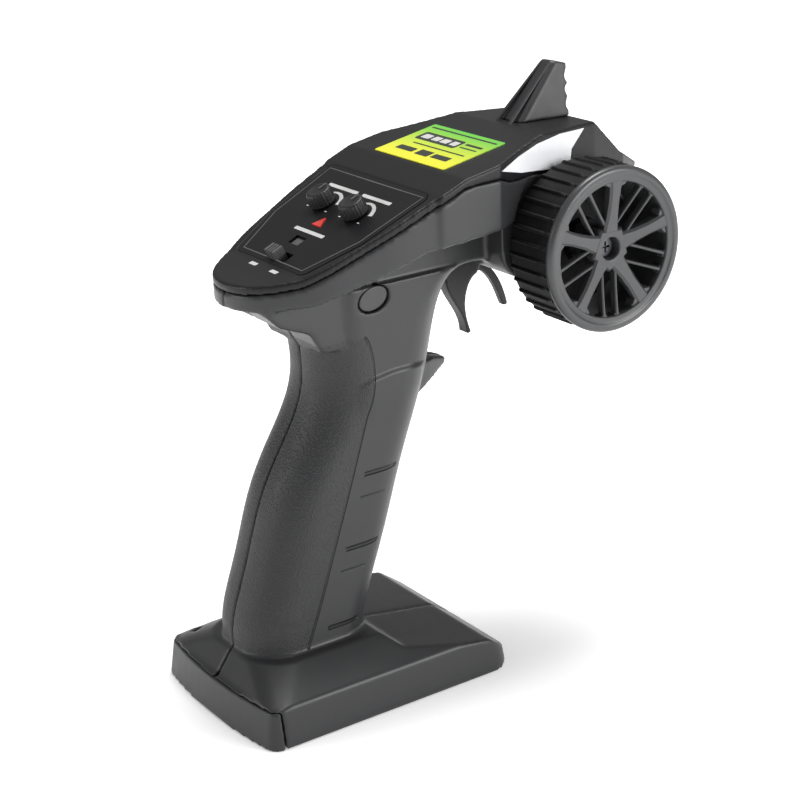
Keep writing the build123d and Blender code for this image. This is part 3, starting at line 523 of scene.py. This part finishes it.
@dataclass
class Surface:
    """Closed surfaces gathered for one piece, in millimetres."""

    points: list[np.ndarray] = field(default_factory=list)
    faces: list[tuple[int, ...]] = field(default_factory=list)
    count: int = 0

    def grid(self, points: np.ndarray, wrap: tuple[bool, bool] = (False, False)) -> None:
        """Add a grid of points as quads.

        Args:
            points: array of shape (rows, columns, 3).
            wrap: whether the last row meets the first, and the last column the first.
        """
        rows, columns = points.shape[:2]
        row = np.arange(rows if wrap[0] else rows - 1)[:, None]
        column = np.arange(columns if wrap[1] else columns - 1)[None, :]
        after, beside = (row + 1) % rows, (column + 1) % columns
        here, ahead = row * columns, after * columns
        corners = [here + column, here + beside, ahead + beside, ahead + column]
        quads = np.stack([c + 0 * row + 0 * column for c in corners], axis=-1).reshape(-1, 4) + self.count
        self.faces.extend(map(tuple, quads.tolist()))
        self.points.append(points.reshape(-1, 3))
        self.count += rows * columns

    def bar(self, sections: np.ndarray) -> None:
        """Add a bar: closed cross-sections, one after another, with flat ends."""
        start, around = self.count, sections.shape[1]
        self.grid(sections, (False, True))
        self.faces.append(tuple(range(start, start + around)))
        self.faces.append(tuple(range(self.count - around, self.count)))

    def slab(self, outline: np.ndarray, low: float, high: float, place: Frame3) -> None:
        """Add a thin plate with a given outline between two heights of a place."""
        levels = [np.column_stack([outline, np.full(len(outline), level)]) for level in (low, high)]
        self.bar(place.world(np.stack(levels)))

    def piece(self, name: str, look: str, body: Body, slot: str, sharp: float = 32.0) -> bpy.types.Object:
        """Make the piece.

        Args:
            name: the piece's name.
            look: key of its finish.
            body: the body it rides on.
            slot: not used.
            sharp: angle in degrees past which an edge stays sharp.

        Returns:
            The new object, riding on its body.
        """
        mesh = bpy.data.meshes.new(name)
        mesh.from_pydata((np.concatenate(self.points) * MM).tolist(), [], self.faces)
        closed = bmesh.new()
        closed.from_mesh(mesh)
        bmesh.ops.remove_doubles(closed, verts=closed.verts, dist=2e-6)
        bmesh.ops.recalc_face_normals(closed, faces=closed.faces)
        closed.to_mesh(mesh)
        closed.free()
        return dressed(name, mesh, look, body, sharp)


def dressed(
    name: str, mesh: bpy.types.Mesh, look: str, body: Body, sharp: float,
) -> bpy.types.Object:
    """Object of a finished mesh with its material, on its body."""
    mesh.shade_smooth()
    mesh.set_sharp_from_angle(angle=math.radians(sharp))
    mesh.materials.clear()
    mesh.materials.append(finish(look))
    made = bpy.data.objects.new(name, mesh)
    bpy.context.scene.collection.objects.link(made)
    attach(made, body.value)
    LOG.info("%s: %d faces on %s", name, len(mesh.polygons), body.value)
    return made


def lathe(place: Frame3, profile: np.ndarray, steps: int, swell: Optional[np.ndarray] = None) -> np.ndarray:
    """Grid of a turned surface.

    A point at angle a and profile station (r, h) lies at r*s*cos(a) across,
    r*s*sin(a) along and h out, where s is 1 or the swell at that angle.

    Args:
        place: the axis and its origin.
        profile: (radius, height) stations, shape (n, 2).
        steps: divisions of the turn.
        swell: factors on the radius, shape (steps, n), if it isn't round.

    Returns:
        Points of shape (steps, n, 3).
    """
    angle = np.linspace(0, 2 * np.pi, steps, endpoint=False)[:, None]
    radius = profile[None, :, 0] * (1.0 if swell is None else swell)
    height = np.broadcast_to(profile[None, :, 1], (steps, len(profile)))
    return place.world(np.stack([radius * np.cos(angle), radius * np.sin(angle), height], axis=-1))


def rounded(width: float, length: float, corner: float, centre: tuple[float, float]) -> np.ndarray:
    """Outline of a rectangle with rounded corners, as (across, along) points."""
    turn = np.linspace(0, np.pi / 2, 5)
    arcs = []
    for quarter, (sx, sy) in enumerate(((1, 1), (-1, 1), (-1, -1), (1, -1))):
        angle = turn + quarter * np.pi / 2
        hub = (centre[0] + sx * (width / 2 - corner), centre[1] + sy * (length / 2 - corner))
        arcs.append(np.column_stack([hub[0] + corner * np.cos(angle), hub[1] + corner * np.sin(angle)]))
    return np.concatenate(arcs)


def arc_band(
    centre: tuple[float, float], inner: np.ndarray, outer: np.ndarray, start: float, end: float,
) -> np.ndarray:
    """Outline of a band between two radii that may change along the arc, angles in degrees."""
    angle = np.radians(np.linspace(start, end, len(inner)))
    ring = [
        np.column_stack([centre[0] + r * np.cos(angle), centre[1] + r * np.sin(angle)])
        for r in (inner, outer)
    ]
    return np.concatenate([ring[0], ring[1][::-1]])


# -------------------------------------------------------------- softened copies
HELD_SHARE = 0.8        # share of the relaxing undone at the middle plane
HELD_WITHIN = 1.3       # mm from the middle plane where the hold has faded out


def relaxed(points: np.ndarray, edges: np.ndarray, passes: int, share: float = 0.5) -> np.ndarray:
    """Points after several passes, each moving every point part of the way to its neighbours' mean.

    Args:
        points: shape (n, 3).
        edges: index pairs, shape (m, 2).
        passes: how many passes.
        share: part of the way moved in one pass.

    Returns:
        The moved points.
    """
    ends = np.concatenate([edges, edges[:, ::-1]])
    degree = np.maximum(np.bincount(ends[:, 0], minlength=len(points)), 1)
    for _ in range(passes):
        axes = [
            np.bincount(ends[:, 0], weights=points[ends[:, 1], k], minlength=len(points))
            for k in range(3)
        ]
        mean = np.column_stack(axes) / degree[:, None]
        points = points + share * (mean - points)
    return points


@dataclass
class Softened:
    """A moulding whose edges are rounded as a mould rounds them.

    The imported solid's mesh is merged, rebuilt on an even lattice of points and
    relaxed, which rounds every edge by about the lattice's spacing.
    """

    node: str
    name: str
    look: str
    body: Body
    slot: str
    lattice: float              # mm
    passes: int = 5
    held: bool = False          # keeps the edge at the middle plane sharp

    def build(self) -> bpy.types.Object:
        """Make the softened moulding in place of its node."""
        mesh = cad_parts[self.node].data.copy()
        merged = bmesh.new()
        merged.from_mesh(mesh)
        bmesh.ops.remove_doubles(merged, verts=merged.verts, dist=1e-6)
        merged.to_mesh(mesh)
        merged.free()
        holder = bpy.data.objects.new(self.name + "_lattice", mesh)
        bpy.context.scene.collection.objects.link(holder)
        remesh = holder.modifiers.new("lattice", "REMESH")
        remesh.mode = "VOXEL"
        remesh.voxel_size = self.lattice * MM
        bpy.context.view_layer.update()
        even = bpy.data.meshes.new_from_object(holder.evaluated_get(bpy.context.evaluated_depsgraph_get()))
        bpy.data.objects.remove(holder)
        points = np.empty(len(even.vertices) * 3)
        even.vertices.foreach_get("co", points)
        edges = np.empty(len(even.edges) * 2, dtype=np.int64)
        even.edges.foreach_get("vertices", edges)
        start = points.reshape(-1, 3)
        moved = relaxed(start, edges.reshape(-1, 2), self.passes)
        if self.held:
            from_seam = np.abs(start[:, 0])
            hold = HELD_SHARE * np.clip((HELD_WITHIN * MM - from_seam) / MM, 0.0, 1.0)[:, None]
            moved = moved + (start - moved) * hold
        even.vertices.foreach_set("co", moved.ravel())
        even.update()
        made = dressed(self.name, even, self.look, self.body, 180.0)
        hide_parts(self.node)
        return made


class Casing:
    """Casing halves, top cover, battery door, fin and side key."""

    parts: tuple[Softened, ...] = (
        Softened("right_shell", "right_casing_half", "shell", Body.CASING, "shell", 0.68, 3, True),
        Softened("left_shell", "left_casing_half", "shell", Body.CASING, "shell", 0.72, 3, True),
        Softened("battery_door", "battery_hatch_door", "shell", Body.HATCH, "shell", 0.5, 3),
        Softened("top_cover", "crown_cover", "cover", Body.CASING, "cover", 0.52, 3),
        Softened("antenna_fin", "fin_moulding", "fin", Body.CASING, "cover", 0.4, 5),
        Softened("side_button", "side_key_cap", "key", Body.SIDE_KEY, "control_cap", 0.22, 5),
        Softened("trigger", "trigger_moulding", "cap", Body.TRIGGER, "control_cap", 0.34, 6),
    )

    def build(self) -> None:
        """Make every moulding of the casing."""
        for part in self.parts:
            part.build()


# ---------------------------------------------------------------------- wheel
@dataclass
class SteeringWheel:
    """Wheel with a face ring, five broad and ten thin spokes, and a ribbed tyre."""

    y: float = 80.0
    z: float = 135.7
    inner: float = 25.2         # X of the inner edge
    outer: float = 45.8
    radius: float = 26.0
    spokes: int = 5
    first: float = 15.0         # degrees from forward
    ribs: int = 36

    def axis(self) -> Frame3:
        """Frame with Y across, Z along and X out."""
        origin = np.array([0.0, self.y, self.z])
        return Frame3(origin, np.array([0, 1.0, 0]), np.array([0, 0, 1.0]), np.array([1.0, 0, 0]))

    def ring(self, surface: Surface) -> None:
        """Barrel and face ring, one turned profile closed on itself."""
        profile = np.array([
            (21.9, 25.2), (22.1, 25.2), (23.2, 25.2), (23.38, 25.5), (23.38, 43.35), (25.3, 43.4), (25.75, 43.5),
            (25.98, 43.8), (26.0, 44.3), (25.9, 44.8), (25.6, 45.3), (25.15, 45.62), (24.6, 45.78), (24.0, 45.8),
            (23.5, 45.72), (23.2, 45.5), (22.9, 45.36), (21.9, 45.3), (21.45, 45.2), (21.2, 44.9), (21.15, 44.2),
            (21.3, 43.4), (21.8, 42.6), (21.9, 41.0),
        ])
        surface.grid(lathe(self.axis(), profile, 180), (True, True))

    def spoke(self, surface: Surface, angle: float, aside: float, stations: np.ndarray, chamfer: float) -> None:
        """Add a spoke whose width, face and depth change along its length.

        Each station gives radius, width, face X and depth.  The section is a
        box with its two face edges cut at a slant.

        Args:
            surface: where it is added.
            angle: direction in degrees from forward.
            aside: shift of the spoke's middle line, mm.
            stations: shape (n, 4).
            chamfer: size of the slanted edges, mm.
        """
        reach, width, face, depth = (stations[:, k][:, None] for k in range(4))
        half = width / 2
        side = np.hstack([-half, -half, -half + chamfer, half - chamfer, half, half])
        level = 0 * depth
        shoulder = level - chamfer * 0.9
        rise = np.hstack([-depth, shoulder, level, level, shoulder, -depth])
        turn = math.radians(angle)
        forward = np.array([math.cos(turn), math.sin(turn)])
        left = np.array([-forward[1], forward[0]])
        flat = reach[..., None] * forward + (side + aside)[..., None] * left
        local = np.concatenate([flat, (face + rise)[..., None]], axis=-1)
        surface.bar(self.axis().world(local))

    def hub(self, surface: Surface) -> None:
        """Five-cornered hub with a round hole for its screw."""
        profile = np.array([
            (3.05, 31.2), (6.3, 31.2), (6.6, 31.5), (6.6, 42.3), (6.2, 43.0), (5.7, 43.35), (4.3, 43.35), (3.75, 43.2),
            (3.5, 42.8), (3.45, 38.8), (1.35, 38.7), (1.35, 37.3), (3.05, 37.2),
        ])
        steps = 120
        angle = np.linspace(0, 2 * np.pi, steps, endpoint=False)[:, None] - math.radians(self.first)
        corner = (angle + np.pi / 5) % (2 * np.pi / 5) - np.pi / 5
        reach = 0.93 / np.cos(corner) * np.ones((1, len(profile)))
        outer = (profile[:, 0] > 5.0)[None, :]
        surface.grid(lathe(self.axis(), profile, steps, np.where(outer, reach, 1.0)), (True, True))

    def rim(self) -> None:
        """Make the rim: ring, hub, spokes and the steps where spokes meet the ring."""
        surface = Surface()
        self.ring(surface)
        self.hub(surface)
        gap = 360 / self.spokes
        broad = np.array([
            (3.9, 6.4, 43.2, 3.6), (6.2, 5.6, 43.35, 3.6), (10.0, 4.5, 43.9, 3.2), (15.0, 4.1, 44.5, 3.0),
            (19.0, 4.5, 44.9, 2.8), (21.9, 5.2, 45.1, 2.8),
        ])
        step = np.array([(19.5, 5.6, 44.3, 3.4), (20.2, 8.2, 44.5, 3.6), (21.9, 10.4, 44.6, 3.8)])
        thin = np.array([
            (5.4, 1.0, 42.6, 2.4), (12.0, 0.95, 43.3, 2.3), (17.5, 1.0, 44.1, 2.2), (21.8, 1.3, 44.7, 2.6),
        ])
        pad = np.array([(20.6, 2.2, 44.4, 3.0), (21.9, 3.2, 44.5, 3.2)])
        for turn in range(self.spokes):
            angle = self.first + gap * turn
            self.spoke(surface, angle, 0.0, broad, 0.75)
            self.spoke(surface, angle, 0.0, step, 0.5)
            for aside in (-2.6, 2.6):
                self.spoke(surface, angle + gap / 2, aside, thin, 0.3)
                self.spoke(surface, angle + gap / 2, aside, pad, 0.3)
        made = surface.piece("wheel_rim_moulding", "rim", Body.WHEEL, "rim_plastic", 28.0)
        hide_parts("wheel_rim")
        # A near-black web disc closes the wheel behind the spokes: painted shade for the shaded inside of the wheel.
        web = Surface()
        turned = np.array([
            (3.05, 26.6), (19.9, 26.6), (20.3, 26.8), (20.3, 27.7), (20.0, 28.0),
            (12.0, 28.3), (7.4, 28.9), (6.9, 31.6), (3.05, 31.6),
        ])
        web.grid(lathe(self.axis(), turned, 120), (True, True))
        web.piece("wheel_web", "web", Body.WHEEL, "rim_plastic", 28.0)

    def tyre(self) -> None:
        """Make the tyre.

        Its outer radius is the tread's radius plus a rib height that is a
        narrow rounded ridge in angle, faded out before the outer edge and
        raised to a dot at its end.
        """
        end = self.outer - 2.25
        middle = np.linspace(self.inner + 0.5, end - 0.5, 22)
        along = np.concatenate([[self.inner + 0.02], middle, [end - 0.02]])
        tread = np.full(len(along), self.radius - 0.85)
        tread[0] -= 0.5
        tread[-1] -= 0.5
        profile = np.vstack([np.column_stack([tread, along]), [(23.45, end), (23.45, self.inner)]])
        steps = self.ribs * 20
        angle = np.linspace(0, 2 * np.pi, steps, endpoint=False)[:, None]
        phase = (angle * self.ribs / (2 * np.pi) + 0.5) % 1 - 0.5
        ridge = np.clip(1.0 - (np.abs(phase) / 0.13) ** 2, 0, 1) ** 0.5
        share = (along - self.inner) / (end - self.inner)
        level = np.interp(
            share, [0, 0.04, 0.80, 0.84, 0.88, 0.92, 0.96, 1.0], [0.3, 1, 1, 0.15, 0.15, 0.95, 0.9, 0.1],
        )
        lift = np.concatenate([level, [0, 0]])[None, :] * ridge * 0.82
        surface = Surface()
        surface.grid(lathe(self.axis(), profile, steps, 1 + lift / profile[None, :, 0]), (True, True))
        made = surface.piece("wheel_tyre_ribbed", "tyre", Body.WHEEL, "tyre_rubber", 50.0)
        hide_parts("wheel_tyre")

    def build(self) -> None:
        """Make the rim and the tyre."""
        self.rim()
        self.tyre()


# ---------------------------------------------------------------- control panel
@dataclass
class ControlPanel:
    """Trim knobs and the printed marks of the sloping panel."""

    foot: tuple[float, float] = (-17.0, 140.6)
    head: tuple[float, float] = (25.7, 159.6)
    knob_y: float = 10.0
    knob_x: float = 9.0

    def slope(self) -> float:
        """Angle of the panel above level, in radians."""
        return math.atan2(self.head[1] - self.foot[1], self.head[0] - self.foot[0])

    def place(self, x: float = 0.0, y: Optional[float] = None) -> Frame3:
        """Frame on the panel's face at an X and Y; out is off the face."""
        tilt = self.slope()
        y = self.foot[0] if y is None else y
        origin = np.array([x, y, self.foot[1] + (y - self.foot[0]) * math.tan(tilt)])
        up = np.array([0, math.cos(tilt), math.sin(tilt)])
        return Frame3(origin, np.array([1.0, 0, 0]), up, np.array([0, -math.sin(tilt), math.cos(tilt)]))

    def run(self, y: float) -> float:
        """Distance up the slope of a Y."""
        return (y - self.foot[0]) / math.cos(self.slope())

    def knob(self, side: Side) -> None:
        """Make one trim knob: a turned cap whose wall has fine upright ribs, and its pointer."""
        place = self.place(side.value * self.knob_x, self.knob_y)
        profile = np.array([
            (0.0, -6.3), (2.4, -6.3), (2.4, 0.4), (3.9, 0.42), (4.1, 0.6), (4.1, 1.2), (4.02, 4.2), (3.85, 4.7),
            (3.5, 4.95), (3.0, 5.05), (2.6, 4.9), (1.2, 4.8), (0.0, 4.8),
        ])
        steps = 144
        angle = np.linspace(0, 2 * np.pi, steps, endpoint=False)[:, None]
        ribbed = np.array([0, 0, 0, 0, 0.2, 1, 1, 0.5, 0, 0, 0, 0, 0])[None, :]
        swell = 1 + 0.024 * ribbed * np.cos(24 * angle)
        surface = Surface()
        surface.grid(lathe(place, profile, steps, swell), (True, False))
        body = Body.LEFT_KNOB if side is Side.LEFT else Body.RIGHT_KNOB
        made = surface.piece(f"{side.name.lower()}_knob_cap", "cap", body, "control_cap", 40.0)
        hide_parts(f"{side.name.lower()}_knob")
        pointer = Surface()
        pointer.slab(rounded(0.7, 3.0, 0.3, (0, 2.1)), 4.76, 5.12, place)
        pointer.piece(f"{side.name.lower()}_knob_pointer", "nub", body, "control_cap")

    def marks(self) -> None:
        """Make the white print: name bars, widening trim scales and switch marks."""
        surface = Surface()
        place = self.place()
        for x, width in ((-9.0, 16.0), (9.3, 15.2)):
            surface.slab(rounded(width, 1.35, 0.3, (x, self.run(17.3))), 0.004, 0.03, place)
        surface.slab(rounded(16.0, 1.35, 0.3, (0.4, self.run(-1.4))), 0.004, 0.03, place)
        nose_tilt = math.atan2(140.6 - 139.2, -17.0 + 24.0)
        rise, level = math.sin(nose_tilt), math.cos(nose_tilt)
        nose = Frame3(
            np.array([0.0, -24.0, 139.2]), np.array([1.0, 0, 0]),
            np.array([0, level, rise]), np.array([0, -rise, level]),
        )
        for x in (-4.0, 7.8):
            surface.slab(rounded(3.8, 1.5, 0.3, (x, 5.4)), -0.03, 0.04, nose)
        for side in (-1, 1):
            hub = (side * self.knob_x, self.run(self.knob_y))
            grow = np.linspace(0.35, 1.7, 16)
            surface.slab(arc_band(hub, np.full(16, 5.2), 5.2 + grow, 140.0, 10.0), 0.004, 0.03, place)
            for angle in (-30.0, -150.0):
                turn = math.radians(angle)
                spot = (hub[0] + 5.9 * math.cos(turn), hub[1] + 5.9 * math.sin(turn))
                surface.slab(rounded(1.1, 0.4, 0.15, spot), 0.004, 0.03, place)
        surface.piece("panel_marks", "print", Body.CASING, "sticker_film")

    def border(self) -> None:
        """Make the fine raised line that frames the panel."""
        place = self.place()
        length = (self.head[0] - self.foot[0]) / math.cos(self.slope())
        rim = np.array([
            (17.0, 2.6), (23.9, 20.0), (25.6, length - 2.6),
            (-25.6, length - 2.6), (-23.9, 20.0), (-17.0, 2.6),
        ])
        middle = rim.mean(0)
        surface = Surface()
        around = np.vstack([rim, rim[:1]])
        cuts = np.linspace(0, 1, 9)[:-1, None]
        path = np.concatenate([a + (b - a) * cuts for a, b in zip(around[:-1], around[1:])])
        inner = path + (middle - path) / np.linalg.norm(middle - path, axis=1)[:, None] * 0.45
        rows = [
            np.column_stack([line, np.full(len(path), height)])
            for line, height in ((path, 0.004), (path, 0.06), (inner, 0.06), (inner, 0.004))
        ]
        surface.grid(place.world(np.stack(rows)), (True, True))
        surface.piece("panel_border", "nub", Body.CASING, "panel_sheet")

    def build(self) -> None:
        """Make the knobs, the marks and the border line."""
        for side in Side:
            self.knob(side)
        self.marks()
        self.border()


# ----------------------------------------------------------- fin and crown label
@dataclass
class Crown:
    """Ridges of the fin and the print on the crown's label."""

    def ridges(self) -> None:
        """Make two low ridges up the fin's sloping back, thinner towards the tip."""
        surface = Surface()
        share = np.linspace(0, 1, 12)
        low, high = np.array([71.4, 168.4]), np.array([89.4, 186.0])
        line = low + (high - low) * share[:, None]
        turn = np.linspace(0, 2 * np.pi, 10, endpoint=False)
        for side in (-1, 1):
            x = side * (3.4 - 1.5 * share)
            radius = 0.75 - 0.25 * share
            ring = np.stack([
                x[:, None] + radius[:, None] * np.cos(turn),
                line[:, :1] - 0.60 * radius[:, None] * np.sin(turn),
                line[:, 1:] + 0.55 * radius[:, None] * np.sin(turn),
            ], axis=-1)
            surface.bar(ring)
        surface.piece("fin_ridges", "fin", Body.CASING, "cover", 60.0)

    def print_marks(self) -> None:
        """Make the label's print: dark bars in rows, and light bars on a dark patch."""
        tilt = math.atan2(169.6 - 163.2, 70.0 - 34.6)
        place = Frame3(
            np.array([0.0, 34.6, 163.2]), np.array([1.0, 0, 0]),
            np.array([0, math.cos(tilt), math.sin(tilt)]), np.array([0, -math.sin(tilt), math.cos(tilt)]),
        )
        dark, light = Surface(), Surface()
        dark.slab(rounded(21.0, 5.6, 1.0, (-4.4, 16.6)), 0.275, 0.30, place)
        for x, width in ((-11.2, 4.2), (-6.0, 3.6), (-1.4, 3.8), (3.4, 3.2)):
            light.slab(rounded(width, 2.8, 0.5, (x, 16.6)), 0.302, 0.325, place)
        bars = (
            (11.6, 18.0, 8.4, 1.2), (11.6, 15.6, 8.4, 0.7), (2.0, 11.2, 27.0, 0.7), (-9.0, 6.8, 9.0, 2.8),
            (0.6, 6.8, 6.6, 3.6), (9.4, 6.8, 8.4, 2.8), (0.0, 22.8, 34.0, 0.8),
        )
        for x, v, width, length in bars:
            dark.slab(rounded(width, length, 0.3, (x, v)), 0.275, 0.30, place)
        dark.piece("label_dark_print", "ink", Body.CASING, "label_print")
        light.piece("label_light_print", "print", Body.CASING, "label_print")

    def build(self) -> None:
        """Make the ridges and the print."""
        self.ridges()
        self.print_marks()


# ------------------------------------------------------------- carried-over nodes
NODE_LOOKS: dict[str, str] = {
    "antenna_rod": "steel", "battery_box": "inner", "battery_cell_1": "cell", "battery_cell_2": "cell",
    "battery_cell_3": "cell", "battery_cell_4": "cell", "bind_button": "nub", "bind_switch": "chip",
    "control_panel": "panel", "cover_screws": "steel", "led_lens": "lens", "left_contacts": "nickel",
    "right_contacts": "nickel", "left_dial_control": "inner", "right_dial_control": "inner",
    "left_sticker": "film", "right_sticker": "film", "main_board": "board", "main_board_screws": "steel",
    "name_label": "label", "panel_board": "board", "panel_board_screws": "steel", "power_switch_body": "inner",
    "power_switch_slider": "nub", "processor": "chip", "radio_module": "nickel", "shaft_bush": "brass",
    "shell_screws": "steel", "side_board": "board", "side_switch": "chip", "spring_cup": "inner",
    "steering_pot": "inner", "steering_shaft": "steel", "steering_spring": "wire", "throttle_pot": "inner",
    "trigger_spindle": "steel", "trigger_spring": "wire", "wheel_screw": "screw",
}


def dress_nodes(looks: dict[str, str]) -> None:
    """Give each carried-over node its finish.

    Args:
        looks: finish key of each node.
    """
    for node, look in looks.items():
        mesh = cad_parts[node].data
        mesh.materials.clear()
        mesh.materials.append(finish(look))
        LOG.info("%s: carried over, finish %s", node, look)


# ---------------------------------------------------------------------- stage
@dataclass
class Stage:
    """Floor, lamps, world and camera."""

    camera_at: tuple[float, float, float] = (0.47610, -0.28650, 0.29881)
    azimuth: float = 56.481
    elevation: float = 20.404
    roll: float = -2.43
    lens: float = 86.0
    ambient: float = 0.32       # strength of the world's light
    glow_near: float = 0.22     # glow of the floor under the object
    glow_gain: float = 0.5      # what is added to it far away

    def floor(self) -> None:
        """Make a wide pale floor with a faint unevenness of tone."""
        span = np.linspace(-3.0, 3.0, 25)
        across, along = np.meshgrid(span, span)
        points = np.stack([across, along, np.full_like(across, -0.0001)], axis=-1).reshape(-1, 3)
        row, column = (index.ravel() for index in np.meshgrid(np.arange(24), np.arange(24)))
        first = row * 25 + column
        mesh = bpy.data.meshes.new("floor")
        corners = np.column_stack([first, first + 1, first + 26, first + 25])
        mesh.from_pydata(points.tolist(), [], corners.tolist())
        graph = Graph("floor_white")
        cloud = graph.noise(0.4, 3.0)
        tone = graph.mix(cloud, (0.985, 0.985, 0.985), (0.99, 0.99, 0.99))
        graph.feed(graph.shader.inputs["Base Color"], tone)
        graph.shader.inputs["Roughness"].default_value = 0.9
        graph.shader.inputs["Specular IOR Level"].default_value = 0.1
        # The floor glows faintly near the object and more with distance.
        squares = (graph.math("POWER", axis, 2.0) for axis in (graph.x, graph.y))
        away = graph.math("SQRT", graph.math("ADD", *squares))
        graph.shader.inputs["Emission Color"].default_value = (1.0, 1.0, 1.0, 1.0)
        farther = graph.math("MULTIPLY", graph.step(away, 0.07, 0.40), self.glow_gain)
        glow = graph.math("ADD", farther, self.glow_near)
        graph.feed(graph.shader.inputs["Emission Strength"], glow)
        mesh.materials.append(graph.material)
        ground = bpy.data.objects.new("floor", mesh)
        bpy.context.scene.collection.objects.link(ground)

    def lamp(self, name: str, place: Sequence[float], aim: Sequence[float], size: float, power: float) -> None:
        """Add a square soft lamp.

        Args:
            name: the lamp's name.
            place: where it hangs, in metres.
            aim: the point it faces.
            size: its side, in metres.
            power: its power, in watts.
        """
        data = bpy.data.lights.new(name, "AREA")
        data.size = size
        data.energy = power
        lamp = bpy.data.objects.new(name, data)
        lamp.location = place
        lamp.rotation_euler = (Vector(aim) - Vector(place)).to_track_quat("-Z", "Y").to_euler()
        bpy.context.scene.collection.objects.link(lamp)

    def world(self, strength: float) -> None:
        """White world: plain light of a given strength, white behind the object."""
        world = bpy.data.worlds.new("studio")
        bpy.context.scene.world = world
        world.use_nodes = True
        tree = world.node_tree
        tree.nodes.clear()
        output = tree.nodes.new("ShaderNodeOutputWorld")
        light, back = (tree.nodes.new("ShaderNodeBackground") for _ in range(2))
        light.inputs[0].default_value = (1.0, 1.0, 1.0, 1.0)
        light.inputs[1].default_value = strength
        back.inputs[0].default_value = (1.0, 1.0, 1.0, 1.0)
        back.inputs[1].default_value = 1.0
        rays = tree.nodes.new("ShaderNodeLightPath")
        either = tree.nodes.new("ShaderNodeMath")
        either.operation = "MAXIMUM"
        tree.links.new(rays.outputs["Is Camera Ray"], either.inputs[0])
        tree.links.new(rays.outputs["Is Transmission Ray"], either.inputs[1])
        blend = tree.nodes.new("ShaderNodeMixShader")
        tree.links.new(either.outputs[0], blend.inputs[0])
        tree.links.new(light.outputs[0], blend.inputs[1])
        tree.links.new(back.outputs[0], blend.inputs[2])
        tree.links.new(blend.outputs[0], output.inputs[0])

    def camera(self) -> None:
        """Set the camera at its place, turned by azimuth, elevation and roll."""
        turn, lift, tip = (math.radians(v) for v in (self.azimuth, self.elevation, self.roll))
        back = Vector((math.sin(turn) * math.cos(lift), -math.cos(turn) * math.cos(lift), math.sin(lift)))
        level = Vector((math.cos(turn), math.sin(turn), 0.0))
        rise = back.cross(level).normalized()
        right = math.cos(tip) * level + math.sin(tip) * rise
        up = -math.sin(tip) * level + math.cos(tip) * rise
        data = bpy.data.cameras.new("camera")
        data.lens = self.lens
        data.sensor_width = 36.0
        data.clip_start = 0.01
        data.dof.use_dof = False
        viewer = bpy.data.objects.new("camera", data)
        turned = Matrix((right, up, back)).transposed().to_4x4()
        viewer.matrix_world = Matrix.Translation(Vector(self.camera_at)) @ turned
        bpy.context.scene.collection.objects.link(viewer)
        bpy.context.scene.camera = viewer

    def build(self) -> None:
        """Set the whole stage."""
        self.floor()
        self.lamp("top_softbox", (-0.10, 0.25, 1.1), (0.0, 0.02, 0.1), 0.5, 10.0)
        self.lamp("rear_softbox", (-0.35, -0.9, 0.40), (0.0, 0.0, 0.05), 0.4, 3.0)
        self.lamp("front_softbox", (0.85, 0.50, 0.38), (0.0, 0.02, 0.08), 0.45, 6.5)
        self.world(self.ambient)
        self.camera()
        bpy.context.scene.view_settings.view_transform = "Standard"


def main() -> None:
    """Build the transmitter's looks and its stage, in order."""
    logging.basicConfig(level=logging.INFO, format="%(name)s: %(message)s")
    Casing().build()
    SteeringWheel().build()
    ControlPanel().build()
    Crown().build()
    dress_nodes(NODE_LOOKS)
    Stage().build()


if __name__ == "__main__":
    main()
